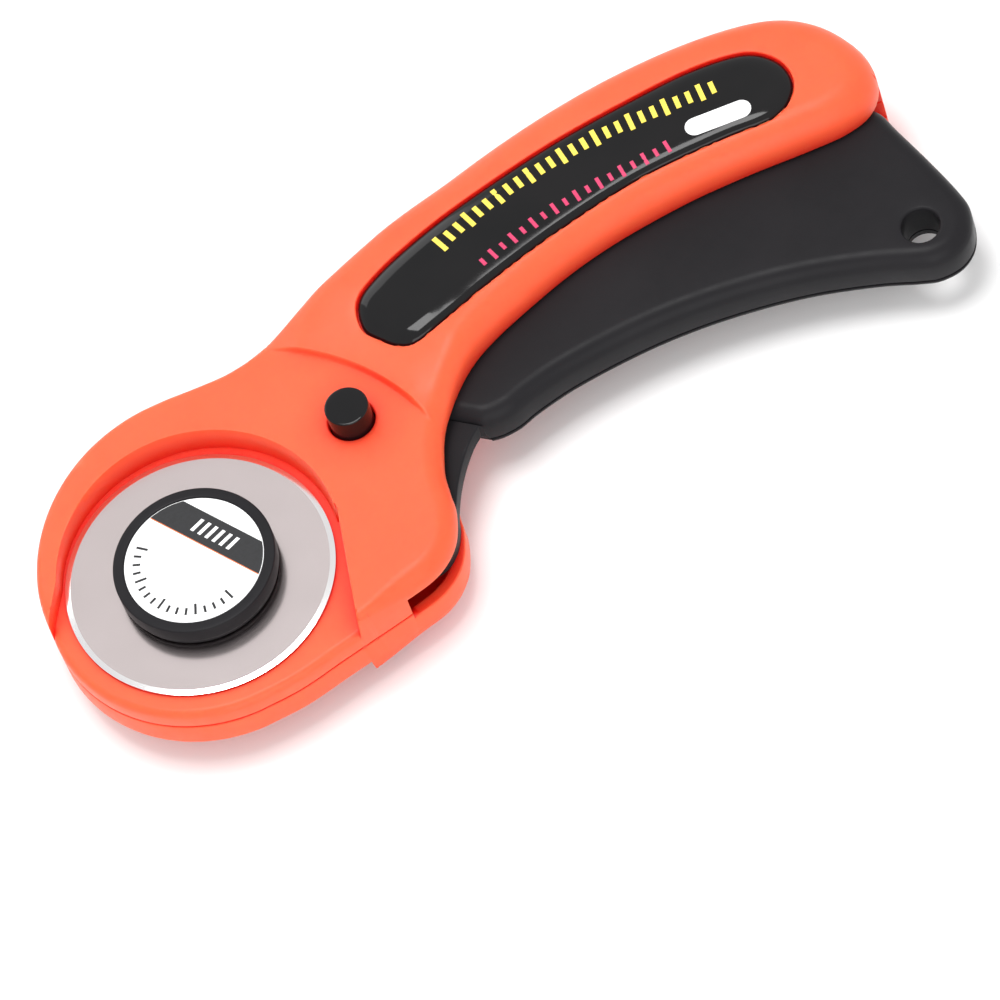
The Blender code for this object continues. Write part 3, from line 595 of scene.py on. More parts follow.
def facing(points, face, upwards):
    """The face's corners, ordered so that it looks up or down."""
    a, b, c = (points[i] for i in face[:3])
    turn = (b[0] - a[0]) * (c[1] - a[1]) - (b[1] - a[1]) * (c[0] - a[0])
    return tuple(face) if (turn > 0) == upwards else tuple(reversed(face))


def add_object(name, data):
    obj = bpy.data.objects.new(name, data)
    bpy.context.scene.collection.objects.link(obj)
    return obj


def build(name, verts, faces):
    """Make a mesh object from design coordinates, with its faces pointing out."""
    used = sorted({i for f in faces for i in f})
    index = {old: new for new, old in enumerate(used)}
    points = [tuple(place(*verts[i])) for i in used]
    mesh = bpy.data.meshes.new(name)
    mesh.from_pydata(points, [], [tuple(index[i] for i in f) for f in faces])
    mesh.validate()
    bm = bmesh.new()
    bm.from_mesh(mesh)
    bmesh.ops.recalc_face_normals(bm, faces=bm.faces)
    if bm.calc_volume(signed=True) < 0:
        bmesh.ops.reverse_faces(bm, faces=bm.faces)
    bm.to_mesh(mesh)
    bm.free()
    return add_object(name, mesh)


def fillet(profile, radius):
    """The profile with each corner off the axis rounded by an arc of about the radius."""
    out = []
    count = len(profile)
    for k, here in enumerate(profile):
        before, after = np.array(profile[k - 1]), np.array(profile[(k + 1) % count])
        corner = np.array(here, float)
        to_before, to_after = before - corner, after - corner
        reach = min(radius, np.linalg.norm(to_before) * 0.45, np.linalg.norm(to_after) * 0.45)
        if corner[0] == 0 or reach < 1e-6:
            out.append(tuple(corner))
            continue
        start = corner + to_before / np.linalg.norm(to_before) * reach
        end = corner + to_after / np.linalg.norm(to_after) * reach
        for t in np.linspace(0, 1, 5):
            out.append(tuple(start * (1 - t) ** 2 + corner * 2 * t * (1 - t) + end * t * t))
    return out


def lathe(name, profile, centre, count=96, radius=0.12):
    """Turn a closed profile of (radius, z) points, its corners rounded, about a vertical axis."""
    profile = fillet(profile, radius)
    verts, faces, rows = [], [], []
    for r, z in profile:
        if r < 1e-9:
            rows.append([len(verts)] * count)
            verts.append((centre[0], centre[1], z))
            continue
        rows.append(list(range(len(verts), len(verts) + count)))
        for a in 2 * np.pi * np.arange(count) / count:
            verts.append((centre[0] + r * math.cos(a), centre[1] + r * math.sin(a), z))
    is_solid = profile[0][0] < 1e-9
    pairs = list(zip(rows, rows[1:])) + ([] if is_solid else [(rows[-1], rows[0])])
    for low, high in pairs:
        for k in range(count):
            n = (k + 1) % count
            faces.append(tuple(dict.fromkeys((low[k], low[n], high[n], high[k]))))
    return build(name, verts, faces)


# ---- materials

def shader_node(tree, kind, **inputs):
    """A node with its inputs set, or linked where a value is another node's output."""
    made = tree.nodes.new("ShaderNode" + kind)
    for name, value in inputs.items():
        socket = made.inputs[name.replace("_", " ")]
        if isinstance(value, bpy.types.NodeSocket):
            tree.links.new(value, socket)
        else:
            socket.default_value = value
    return made


def noise(tree, where, scale, detail=3.0, rough=0.5):
    return shader_node(tree, "TexNoise", Vector=where, Scale=scale, Detail=detail,
                       Roughness=rough).outputs["Fac"]


def remap(tree, value, low, high, to_low=0.0, to_high=1.0):
    return shader_node(tree, "MapRange", Value=value, From_Min=low, From_Max=high,
                       To_Min=to_low, To_Max=to_high).outputs["Result"]


def blend_colour(tree, factor, first, second):
    made = tree.nodes.new("ShaderNodeMix")
    made.data_type = "RGBA"
    colours = [s for s in made.inputs if s.type == "RGBA"]
    for socket, value in zip(colours, (first, second)):
        if isinstance(value, tuple):
            socket.default_value = (*value, 1.0)
        else:
            tree.links.new(value, socket)
    tree.links.new(factor, made.inputs[0])
    return [s for s in made.outputs if s.type == "RGBA"][0]


def bump(tree, value, strength, distance, under=None):
    made = shader_node(tree, "Bump", Height=value, Strength=strength, Distance=distance)
    if under is not None:
        tree.links.new(under, made.inputs["Normal"])
    return made.outputs["Normal"]


def start_material(name, **sockets):
    """A Principled material, its tree and shader, and the object coordinates."""
    mat = bpy.data.materials.new(name)
    mat.use_nodes = True
    tree = mat.node_tree
    shader = tree.nodes["Principled BSDF"]
    for key, value in sockets.items():
        shader.inputs[key.replace("_", " ")].default_value = value
    where = tree.nodes.new("ShaderNodeTexCoord").outputs["Object"]
    return mat, tree, shader, where


def paint(tree, shader, mask, low, high, colour, deep):
    """Base colour that runs from one tint to the other with the mask."""
    tint = blend_colour(tree, remap(tree, mask, low, high), colour, deep)
    tree.links.new(tint, shader.inputs["Base Color"])


def polish(tree, shader, mask, low, high, rough, spread):
    """Roughness that runs over a spread with the mask."""
    value = remap(tree, mask, low, high, rough, rough + spread)
    tree.links.new(value, shader.inputs["Roughness"])


def edge_mask(tree, low, high):
    """1 along convex edges, 0 elsewhere."""
    point = tree.nodes.new("ShaderNodeNewGeometry").outputs["Pointiness"]
    return remap(tree, point, low, high)


def painted_shade_mask(tree):
    """Mask for the painted shade: 0 in inner corners and narrow gaps, 1 in the open."""
    made = shader_node(tree, "AmbientOcclusion", Distance=0.007)
    made.samples = 8
    return remap(tree, made.outputs["AO"], 0.45, 0.95)


def moulded(name, colour, deep, worn, rough, grain, specular, bleed=0.0, painted_crevice_shade=None):
    """Injection-moulded plastic: cloudy tint, fine spark grain, edges rubbed a little.

    bleed is how much light runs under the surface, the red much further than the rest, and
    the last argument is a deeper red painted into inner corners and narrow gaps as shade.
    """
    mat, tree, shader, where = start_material(
        name, Specular_IOR_Level=specular, Subsurface_Weight=bleed,
        Subsurface_Radius=(1.0, 0.12, 0.06), Subsurface_Scale=0.004)
    cloud = noise(tree, where, 55.0, 4.0)
    tint = blend_colour(tree, remap(tree, cloud, 0.3, 0.7), colour, deep)
    scuff = noise(tree, where, 420.0, 5.0, 0.7)
    wear = tree.nodes.new("ShaderNodeMath")
    wear.operation = "MULTIPLY"
    tree.links.new(edge_mask(tree, 0.53, 0.62), wear.inputs[0])
    tree.links.new(remap(tree, scuff, 0.4, 0.65, 0.0, 0.6), wear.inputs[1])
    tint = blend_colour(tree, wear.outputs[0], tint, worn)
    # painted shade: ambient occlusion turns inner corners and narrow gaps a deeper red
    if painted_crevice_shade:
        tint = blend_colour(tree, painted_shade_mask(tree), painted_crevice_shade, tint)
    tree.links.new(tint, shader.inputs["Base Color"])
    polish(tree, shader, scuff, 0.3, 0.7, rough - 0.05, 0.11)
    fine = noise(tree, where, 5200.0, 2.0)
    soft = noise(tree, where, 900.0, 3.0)
    normal = bump(tree, fine, grain, 0.00004)
    tree.links.new(bump(tree, soft, grain * 0.5, 0.00006, normal), shader.inputs["Normal"])
    return mat


def glossy(name, colour, deep, rough, specular):
    """Polished plastic or resin: cloudy tint, patchy roughness and a faint orange peel."""
    mat, tree, shader, where = start_material(name, Specular_IOR_Level=specular)
    cloud = noise(tree, where, 70.0, 3.0)
    paint(tree, shader, cloud, 0.35, 0.65, colour, deep)
    smear = noise(tree, where, 160.0, 5.0, 0.6)
    polish(tree, shader, smear, 0.35, 0.75, rough, 0.07)
    peel = noise(tree, where, 420.0, 2.0)
    tree.links.new(bump(tree, peel, 0.05, 0.00008), shader.inputs["Normal"])
    return mat


def metal(name, colour, deep, rough, grind):
    """Turned or drawn metal: cloudy tint, smears and a fine tooth."""
    mat, tree, shader, where = start_material(name, Metallic=1.0)
    cloud = noise(tree, where, 90.0, 4.0)
    paint(tree, shader, cloud, 0.35, 0.65, colour, deep)
    smear = noise(tree, where, 260.0, 5.0, 0.65)
    polish(tree, shader, smear, 0.3, 0.75, rough, 0.1)
    tree.links.new(bump(tree, noise(tree, where, 3500.0, 2.0), grind, 0.00003),
                   shader.inputs["Normal"])
    return mat


def ground_steel(name, colour, deep, rough, spacing, depth):
    """Ground blade steel: rings about the hub, cut very finely."""
    mat, tree, shader, where = start_material(name, Metallic=1.0)
    value = where
    for operation, operand in (("SUBTRACT", HUB), ("MULTIPLY", (1.0, 1.0, 0.0)), ("LENGTH", None)):
        step = tree.nodes.new("ShaderNodeVectorMath")
        step.operation = operation
        if operand:
            step.inputs[1].default_value = operand
        tree.links.new(value, step.inputs[0])
        value = step.outputs[0]
    rings = tree.nodes.new("ShaderNodeTexNoise")
    rings.noise_dimensions = "1D"
    rings.inputs["Scale"].default_value = 1 / spacing
    rings.inputs["Detail"].default_value = 3.0
    tree.links.new(step.outputs["Value"], rings.inputs["W"])
    smear = noise(tree, where, 120.0, 4.0, 0.6)
    paint(tree, shader, smear, 0.3, 0.7, colour, deep)
    polish(tree, shader, smear, 0.3, 0.7, rough, 0.03)
    tree.links.new(bump(tree, rings.outputs["Fac"], depth, 0.00002), shader.inputs["Normal"])
    return mat


def printed(name, colour, deep, rough=0.35):
    """Printing ink or a paper label: slightly uneven tint and sheen."""
    mat, tree, shader, where = start_material(name, Specular_IOR_Level=0.3)
    speck = noise(tree, where, 1500.0, 4.0)
    paint(tree, shader, speck, 0.35, 0.7, colour, deep)
    polish(tree, shader, speck, 0.3, 0.7, rough, 0.1)
    tree.links.new(bump(tree, speck, 0.05, 0.00002), shader.inputs["Normal"])
    return mat


# the coral's last colour is the deeper red of painted shade in its inner corners and gaps
CORAL = moulded("coral plastic", (0.90, 0.118, 0.045), (0.88, 0.108, 0.040),
                (0.94, 0.17, 0.085), 0.40, 0.10, 0.25, 0.6, (0.85, 0.018, 0.010))
SATIN = moulded("satin black plastic", (0.017, 0.0162, 0.018), (0.014, 0.0135, 0.015),
                (0.026, 0.026, 0.028), 0.34, 0.2, 0.07)
GLOSS = glossy("gloss black", (0.007, 0.0065, 0.007), (0.005, 0.005, 0.0055), 0.05, 0.25)
BLADE_STEEL = ground_steel("ground blade steel", (0.665, 0.588, 0.583), (0.645, 0.57, 0.567),
                           0.16, 0.00035, 0.05)
# a lighter copy of the blade steel: its brightness is a painted highlight, the reflection that the ground bevel
# catches
BEVEL_HIGHLIGHT_STEEL = ground_steel("bevel steel painted highlight", (0.92, 0.90, 0.90), (0.85, 0.84, 0.85),
                           0.12, 0.00012, 0.12)
SPRING_STEEL = metal("spring steel", (0.62, 0.61, 0.60), (0.5, 0.49, 0.48), 0.24, 0.08)
STEEL = metal("turned steel", (0.70, 0.69, 0.68), (0.6, 0.59, 0.58), 0.18, 0.06)
BRASS = metal("brass", (0.66, 0.48, 0.21), (0.55, 0.38, 0.15), 0.26, 0.08)
RUBBER = moulded("rubber", (0.020, 0.020, 0.020), (0.014, 0.014, 0.014),
                 (0.05, 0.05, 0.05), 0.75, 0.3, 0.3)
LABEL_WHITE = printed("label white", (0.92, 0.92, 0.92), (0.88, 0.88, 0.885))
INK_BLACK = printed("black ink", (0.016, 0.016, 0.018), (0.012, 0.012, 0.013))
INK_GOLD = printed("gold ink", (0.90, 0.70, 0.10), (0.84, 0.62, 0.08))
INK_MAGENTA = printed("magenta ink", (0.62, 0.045, 0.14), (0.52, 0.035, 0.11))
INK_ORANGE = printed("orange ink", (0.90, 0.20, 0.06), (0.80, 0.17, 0.05))


def finish_piece(obj, mat, body, angle=34):
    """Material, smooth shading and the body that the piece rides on."""
    obj.data.materials.append(mat)
    obj.data.shade_smooth()
    obj.data.set_sharp_from_angle(angle=math.radians(angle))
    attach(obj, body)


def stands_for(obj, mat, node, angle=34):
    """Finish a piece that takes the place of a CAD node."""
    finish_piece(obj, mat, BODY_OF[node], angle)
    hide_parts(node)


# ---- shells

SHELL = shell_outline(STEP)
PANEL = panel_outline(STEP)
SHELL_HOLES = [hub_slot(), ring(BUTTON, BUTTON_R + GAP, 48)]


def edge_rings(loop, radius):
    """Loose points that follow a quarter-round edge inwards."""
    out = []
    for share in ARC_SHARES:
        points = inset(loop, radius * share)
        wanted = radius * share
        keep = np.abs(depth_in(loop, points) - wanted) < 0.06 * np.maximum(wanted, 0.3)
        out.append(points[keep])
    return out


def round_rings(loop, reach):
    """Loose points that follow a small round outside a hole or a pocket."""
    return [inset(loop, -reach * share) for share in (0.1, 0.3, 0.6, 1.0)]


def lip_rings(loop, reach):
    """Loose points that follow a small round inside an edge."""
    return [inset(loop, reach * share) for share in (0.1, 0.35, 0.7, 1.0)]


def cross_lines(nose_step):
    """Short lines across the side wall where its free edge steps up or down."""
    lines = []
    for side in (-0.02, 0.02):
        lines.append(np.array([(NOTCH_X + side, -21.0), (NOTCH_X + side, -15.5)]))
        lines.append(np.array([(128.5, TAIL_SLOT_Y + side), (134.0, TAIL_SLOT_Y + side)]))
        if nose_step:
            lines.append(np.array([(41.0, LIP_STEP_Y + side), (47.0, LIP_STEP_Y + side)]))
    return lines


def outer_lines():
    """Edges that the outer surface keeps."""
    return [(low_border(-RECESS_RUN / 2), False), (PANEL, True), (inset(PANEL, DRAFT), True)]


def outer_loose():
    """Points that make the outer surface fine where it bends."""
    loose = edge_rings(SHELL, edge_radius(SHELL))
    loose += [low_border(out) for out in (-0.3, 0.0, 0.2, 0.35, 0.5, 0.65, 0.8, 1.0, 1.3)]
    for side in (-0.7, -0.35, -0.2, -0.07, 0.07, 0.2, 0.35, 0.7, 1.4):
        loose.append(arc(CREASE_C, CREASE_R + side, 14, 66, 70))
    for hole in [PANEL] + SHELL_HOLES:
        loose += round_rings(hole, 0.3)
    return loose


def inner_lines(nose_step):
    """Edges that the inner surface keeps."""
    lines = [(inset(SHELL, WALL), True), (inset(SHELL, WALL + DRAFT), True)]
    lines += [(low_border(WALL + side), False) for side in (0, DRAFT)]
    lines += [(line, False) for line in cross_lines(nose_step)]
    return lines


def inner_loose():
    """Points for the small rounds on both sides of the free edge."""
    inner = [inset(SHELL, WALL - LIP_ROUND * share) for share in (0.1, 0.35, 0.7, 1.0)]
    return lip_rings(SHELL, LIP_ROUND) + inner


def front_shell():
    bosses = [(c, BOSS_R, LIP_CLOSED, 1.15, 1.0) for c in CASE_SCREWS]
    bosses.append((PIVOT, PIVOT_BOSS_R, ARM_TOP + GAP, PIN_HOLE_R, PIN_HOLE_END))
    inner = inner_lines(False)
    for centre, radius, _, hole_radius, _ in bosses:
        inner += [(r, True) for r in boss_rings(centre, radius, hole_radius)]

    def bottom(p):
        z = inner_height(p, SHELL, LIP_OPEN)
        for boss in bosses:
            z = add_boss(z, p, *boss)
        return z

    def top(p):
        return outer_height(p, SHELL, PANEL, SHELL_HOLES)

    return plate("front_shell_fine", SHELL, SHELL_HOLES, top, bottom, outer_lines(), inner,
                 outer_loose(), inner_loose())


def rear_shell():
    holes = SHELL_HOLES + [ring(c, SCREW_HOLE_R, 24) for c in CASE_SCREWS]
    outer = outer_lines()
    outer += [(ring((0, 0), DISH_R + side, 120), True) for side in (-0.25, 0.0, 0.25)]
    inner = inner_lines(True)
    for centre in CASE_SCREWS:
        inner += [(r, True) for r in boss_rings(centre, REAR_BOSS_R, 0)]
        outer += [(ring(centre, r, 40), True) for r in (HEAD_HOLE_R, HEAD_HOLE_R + DRAFT)]
    pivot_boss = (PIVOT, PIVOT_BOSS_R, mirror_z(ARM_BACK - GAP), PIN_HOLE_R, PIN_HOLE_END)
    inner += [(r, True) for r in boss_rings(PIVOT, PIVOT_BOSS_R, PIN_HOLE_R)]

    def top(p):
        z = outer_height(p, SHELL, PANEL, SHELL_HOLES, rear_floor(p))
        for centre in CASE_SCREWS:
            z = add_boss(z, p, centre, HEAD_HOLE_R, SCREW_SEAT, 0, 0)
        return mirror_z(z)

    def bottom(p):
        z = inner_height(p, SHELL, LIP_NOSE)
        for centre in CASE_SCREWS:
            z = add_boss(z, p, centre, REAR_BOSS_R, LIP_CLOSED, 0, 0)
        return mirror_z(add_boss(z, p, *pivot_boss))

    return plate("rear_shell_fine", SHELL, holes, bottom, top, inner, outer,
                 inner_loose(), outer_loose())


PANEL_ROLL = 3.2                  # width of the panel's rolled edge, and how far it falls
PANEL_FALL = 1.25
PROUD = 0.45                      # height of a panel's middle above the shell
REAR_PROUD = -0.25
PANEL_SEAT = 0.12                 # clearance between the panel and its pocket


def panel_height(p, proud):
    """Upper surface of a grip panel, at any point inside it."""
    edge = inset(PANEL, DRAFT + PANEL_SEAT)
    drop = rounded(depth_in(edge, p) / PANEL_ROLL, 1.0) * PANEL_FALL
    return crown_height(p) - rounded(depth_in(SHELL, p), edge_radius(p)) + proud - drop


def grip_panel(name, is_front):
    """Domed panel in the pocket of one shell."""
    loop = inset(PANEL, DRAFT + PANEL_SEAT)
    proud = PROUD if is_front else REAR_PROUD
    rings = [inset(loop, PANEL_ROLL * share) for share in ARC_SHARES]

    def top(p):
        return panel_height(p, proud)

    def bottom(p):
        return np.minimum(crown_height(p) - POCKET_DEPTH + 0.05, panel_height(p, proud) - 0.2)

    if is_front:
        return plate(name, loop, [], top, bottom, top_loose=rings, spacing=1.2)
    return plate(name, loop, [], lambda p: mirror_z(bottom(p)), lambda p: mirror_z(top(p)),
                 bottom_loose=rings, spacing=1.2)


# ---- lever

LEVER = lever_outline(STEP)
GRIP = grip_outline(STEP)


def lever_top(p):
    """Front surface of the lever: the thick grip stands above the thin arm."""
    past = past_grip_end(p)
    depth = depth_in(LEVER, p)
    arm = ARM_TOP - rounded(depth, 0.4)
    grip = GRIP_TOP - rounded(np.minimum(depth, np.maximum(past, 0)), GRIP_ROUND)
    hole = away_from(HANG_HOLE, p) - HANG_R
    grip = grip - rounded(hole, 0.5)
    return np.where(past > 0.03, grip, arm)


def grip_end_line(out, count=2):
    """Line along the end of the grip, moved away from the arm by a distance."""
    unit = np.array(GRIP_END_OUT) / math.hypot(*GRIP_END_OUT)
    along = -left_of(unit)
    centre = np.array(GRIP_END) + unit * out
    return np.array([centre + along * reach for reach in np.linspace(-8, 6, count)])


def lever_body():
    holes = [ring((0, 0), 2.5, 40), ring(PIVOT, 2.65, 40), ring(HANG_HOLE, HANG_R, 56)]
    top_lines = [(grip_end_line(d), False) for d in (0.0, 0.06)]
    loose = [inset(LEVER, d) for d in (0.06, 0.16, 0.28, 0.4)]
    loose += edge_rings(LEVER, GRIP_ROUND)
    loose += [grip_end_line(GRIP_ROUND * share, 18) for share in ARC_SHARES]
    loose += round_rings(holes[2], 0.5)
    bottom_lines = list(top_lines)
    hollow_out = inset(GRIP, GRIP_WALL - DRAFT)
    bottom_lines += [(inset(GRIP, GRIP_WALL), True), (hollow_out, True)]
    bosses = [(HANG_HOLE, HANG_R + 2.2, SEAM_Z + GAP / 2, 0, 0)]
    bosses += [(c, 2.6, SEAM_Z + GAP / 2, 1.15, GRIP_TOP - 3.0) for c in LEVER_SCREWS]
    for centre, radius, _, hole_radius, _ in bosses:
        bottom_lines += [(r, True) for r in boss_rings(centre, radius, hole_radius)]
    def bottom(p):
        past = past_grip_end(p)
        inside = ramp(depth_in(hollow_out, p), 0, DRAFT)
        seam = SEAM_Z + GAP / 2 + rounded(depth_in(LEVER, p), SEAM_ROUND)
        grip = seam * (1 - inside) + GRIP_HOLLOW * inside
        for boss in bosses:
            grip = add_boss(grip, p, *boss)
        return np.where(past > 0.03, grip, ARM_BACK)

    return plate("lever_body_fine", LEVER, holes, lever_top, bottom, top_lines, bottom_lines,
                 loose, lip_rings(LEVER, SEAM_ROUND))


def lever_back():
    """Cover on the back of the grip."""
    holes = [ring(HANG_HOLE, HANG_R, 56)] + [ring(c, 1.3, 24) for c in LEVER_SCREWS]
    lines = [(ring(c, r, 36), True) for c in LEVER_SCREWS for r in (2.3, 2.3 + DRAFT)]

    def bottom(p):
        z = GRIP_BACK + rounded(depth_in(GRIP, p), 1.2)
        z = z + rounded(away_from(HANG_HOLE, p) - HANG_R, 0.4)
        for centre in LEVER_SCREWS:
            z = add_boss(z, p, centre, 2.3, GRIP_BACK + 0.75, 0, 0)
        return z

    def top(p):
        return SEAM_Z - GAP / 2 - rounded(depth_in(GRIP, p), 0.2)

    return plate("lever_back_fine", GRIP, holes, top, bottom, [], lines,
                 lip_rings(GRIP, SEAM_ROUND), edge_rings(GRIP, 1.2) + round_rings(holes[0], 0.4))


# ---- blade and hub

def blade():
    """Blade with a ground bevel on both faces; the bevel has its own material, a lighter copy of the steel that
    paints the bevel's highlight.
    """
    loop = ring((0, 0), BLADE_R, 240)
    bevel = [(ring((0, 0), BEVEL_R, 240), True)]

    def slope(p):
        return BEVEL_DROP * ramp(away_from((0, 0), p), BEVEL_R, BLADE_R)

    made = plate("blade_fine", loop, [blade_hole()], lambda p: -slope(p),
                 lambda p: slope(p) - BLADE_THICK, bevel, bevel)
    stands_for(made, BLADE_STEEL, "blade", 3)
    # the bevel's lighter steel paints its highlight
    made.data.materials.append(BEVEL_HIGHLIGHT_STEEL)
    for face in made.data.polygons:
        away = (Vector((face.center.x, face.center.y)) - HUB.xy).length / MM
        face.material_index = 1 if away > BEVEL_R else 0


def on_hub_label(name, outline, mat, lift, thick=0.03):
    """A printed shape that lies on the hub's label."""
    low = LABEL_Z + lift - thick
    made = plate(name, np.array(outline, float), [], lambda p: np.full(len(p), low + thick),
                 lambda p: np.full(len(p), low), spacing=4.0)
    finish_piece(made, mat, "lever")


def hub_pieces():
    """Cap, label, bolt, bushing and spacer on the hub's axis."""
    cap = [(2.5, GAP), (13.2, GAP), (13.2, 1.0), (13.0, 1.15), (CAP_R, 1.35),
           (CAP_R, CAP_TOP), (LABEL_R + 0.15, CAP_TOP), (LABEL_R + 0.15, 3.75), (6.4, 3.75),
           (6.4, 2.0), (2.5, 2.0)]
    label = [(0, 4.05), (LABEL_R + 0.1, 4.05), (LABEL_R + 0.1, LABEL_Z), (0, LABEL_Z)]
    bolt = [(0, -14.8), (1.9, -14.8), (2.2, -14.4), (2.2, 2.3), (6.0, 2.3), (6.0, 3.1),
            (5.6, 3.45), (0, 3.45)]
    bushing = [(2.5, ARM_TOP + GAP), (4.2, ARM_TOP + GAP), (4.2, -0.65), (3.7, -0.65),
               (3.7, 0.0), (2.5, 0.0)]
    spacer = [(2.5, -8.3), (4.2, -8.3), (4.2, ARM_BACK - GAP), (2.5, ARM_BACK - GAP)]
    rows = [("hub_cap", cap, SATIN, 0.3), ("hub_label", label, LABEL_WHITE, 0.05),
            ("blade_bolt", bolt, SPRING_STEEL, 0.15), ("hub_bushing", bushing, BRASS, 0.1),
            ("rear_spacer", spacer, STEEL, 0.1)]
    for node, profile, mat, radius in rows:
        stands_for(lathe(node + "_fine", profile, (0, 0), 128, radius), mat, node)


def wave_washer():
    def wave(p):
        return -8.95 + 0.2 * np.cos(3 * np.arctan2(p[:, 1], p[:, 0]))

    made = plate("wave_washer_fine", ring((0, 0), 7.2, 96), [ring((0, 0), 2.7, 60)], wave,
                 lambda p: wave(p) - 0.35, spacing=1.5)
    stands_for(made, SPRING_STEEL, "wave_washer")


def retaining_nut():
    """Knurled hand nut on the back of the hub."""
    low, high = heights("retaining_nut")
    angle = np.linspace(0, 2 * np.pi, 240, endpoint=False)
    loop = polar(NUT_R + 0.4 * np.cos(12 * angle), angle)
    rings = [inset(loop, 0.8 * share) for share in ARC_SHARES]
    seat = [(ring((0, 0), r, 72), True) for r in (5.0, 5.1)]

    def back(p):
        dish = 0.5 * (1 - ramp(away_from((0, 0), p), 5.0, 5.1))
        return low + rounded(depth_in(loop, p), 0.8) + dish

    made = plate("retaining_nut_fine", loop, [ring((0, 0), 2.4, 40)],
                 lambda p: high - rounded(depth_in(loop, p), 0.3), back, [], seat,
                 lip_rings(loop, 0.3), rings)
    stands_for(made, SATIN, "retaining_nut")


# ---- small pieces

def cross_recess(obj, centre, head, depth, width, length):
    """Cut a cross-shaped driver recess into a screw head that faces down."""
    for turn in (20, 110):
        bm = bmesh.new()
        for x in (-length / 2, length / 2):
            for y in (-width / 2, width / 2):
                for z, share in ((head - 0.3, 1.0), (head + depth, 0.45)):
                    bm.verts.new((x * share, y * share, z))
        bmesh.ops.convex_hull(bm, input=list(bm.verts))
        mesh = bpy.data.meshes.new("cutter")
        bm.to_mesh(mesh)
        bm.free()
        spin = Matrix.Rotation(math.radians(turn), 4, "Z")
        mesh.transform(Matrix.Diagonal((MM, MM, MM, 1)) @ spin)
        mesh.transform(Matrix.Translation(place(centre[0], centre[1], 0)))
        cut = obj.modifiers.new("recess", "BOOLEAN")
        cut.operation = "DIFFERENCE"
        cut.solver = "EXACT"
        cut.object = add_object("cutter", mesh)
    cutters = [cut.object for cut in obj.modifiers]
    depsgraph = bpy.context.evaluated_depsgraph_get()
    mesh = bpy.data.meshes.new_from_object(obj.evaluated_get(depsgraph))
    obj.modifiers.clear()
    obj.data = mesh
    for cutter in cutters:
        bpy.data.objects.remove(cutter)


def screws():
    for k, centre in enumerate(CASE_SCREWS, 1):
        head = mirror_z(SCREW_SEAT)
        profile = [(0, head - 1.9), (1.3, head - 1.9), (2.3, head - 1.2), (2.3, head - GAP),
                   (0.95, head - GAP), (0.95, 0.2), (0, 0.7)]
        made = lathe(f"case_screw_{k}_fine", profile, centre, 48, 0.25)
        cross_recess(made, centre, head - 1.9, 1.1, 0.55, 2.5)
        stands_for(made, SPRING_STEEL, f"case_screw_{k}")
    for k, centre in enumerate(LEVER_SCREWS, 1):
        head = GRIP_BACK + 0.75
        profile = [(0, head - 0.7), (1.7, head - 0.7), (2.0, head - 0.45),
                   (2.0, head - 0.25), (0.95, head - 0.25), (0.95, -4.2), (0, -3.8)]
        made = lathe(f"lever_screw_{k}_fine", profile, centre, 48, 0.15)
        cross_recess(made, centre, head - 0.7, 0.8, 0.5, 2.2)
        stands_for(made, SPRING_STEEL, f"lever_screw_{k}")


def lock_button():
    """Cross-push button, with a collar that stays between the shells."""
    back, top = heights("lock_button")
    profile = [(0, back), (BUTTON_R, back), (BUTTON_R, -1.6), (4.9, -1.6), (4.9, 1.2),
               (BUTTON_R, 1.2), (BUTTON_R, top), (0, top)]
    stands_for(lathe("lock_button_fine", profile, BUTTON, 96, 0.3), GLOSS, "lock_button")


def turned_inside():
    """Friction ring, pivot pin and pivot bushing."""
    friction = [(BUTTON_R + GAP, -10.3), (5.4, -10.3), (5.4, -8.8), (BUTTON_R + GAP, -8.8)]
    pin = [(0, -10.1), (1.45, -9.9), (1.45, 0.8), (0, 1.0)]
    bushing = [(1.75, ARM_BACK), (2.35, ARM_BACK), (2.35, ARM_TOP), (1.75, ARM_TOP)]
    rows = [("button_friction_ring", friction, BUTTON, RUBBER),
            ("lever_pivot_pin", pin, PIVOT, STEEL), ("pivot_bushing", bushing, PIVOT, BRASS)]
    for node, profile, centre, mat in rows:
        stands_for(lathe(node + "_fine", profile, centre, 64, 0.1), mat, node)


SPRING_LOW, SPRING_HIGH = (Vector(local(c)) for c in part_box("return_spring"))
SPRING_AXIS = ((SPRING_LOW.x + SPRING_HIGH.x) / 2, PARTING)
SPRING_WIRE_R = 0.4
SPRING_COIL_R = 2.5


def return_spring(turns=5, sides=12, per_turn=36):
    """Compression spring between the lever and the top of the handle."""
    low, high = SPRING_LOW.y, SPRING_HIGH.y
    steps = turns * per_turn
    verts, faces = [], []
    for k in range(steps + 1):
        angle = 2 * np.pi * k / per_turn
        y = low + SPRING_WIRE_R + (high - low - 2 * SPRING_WIRE_R) * k / steps
        for s in range(sides):
            a = 2 * np.pi * s / sides
            r = SPRING_COIL_R + SPRING_WIRE_R * math.cos(a)
            verts.append((SPRING_AXIS[0] + r * math.cos(angle), y + SPRING_WIRE_R * math.sin(a),
                          SPRING_AXIS[1] + r * math.sin(angle)))
    for k in range(steps):
        for s in range(sides):
            n = (s + 1) % sides
            faces.append((k * sides + s, k * sides + n, (k + 1) * sides + n, (k + 1) * sides + s))
    faces.append(tuple(range(sides)))
    faces.append(tuple(steps * sides + s for s in reversed(range(sides))))
    made = build("return_spring_fine", verts, faces)
    stands_for(made, SPRING_STEEL, "return_spring")
    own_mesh(made)


def dress_node(node, mat):
    """Give a CAD node that is shown as it is its procedural material."""
    obj = frame["nodes"][node]
    obj.data.materials.clear()
    obj.data.materials.append(mat)


# ---- print

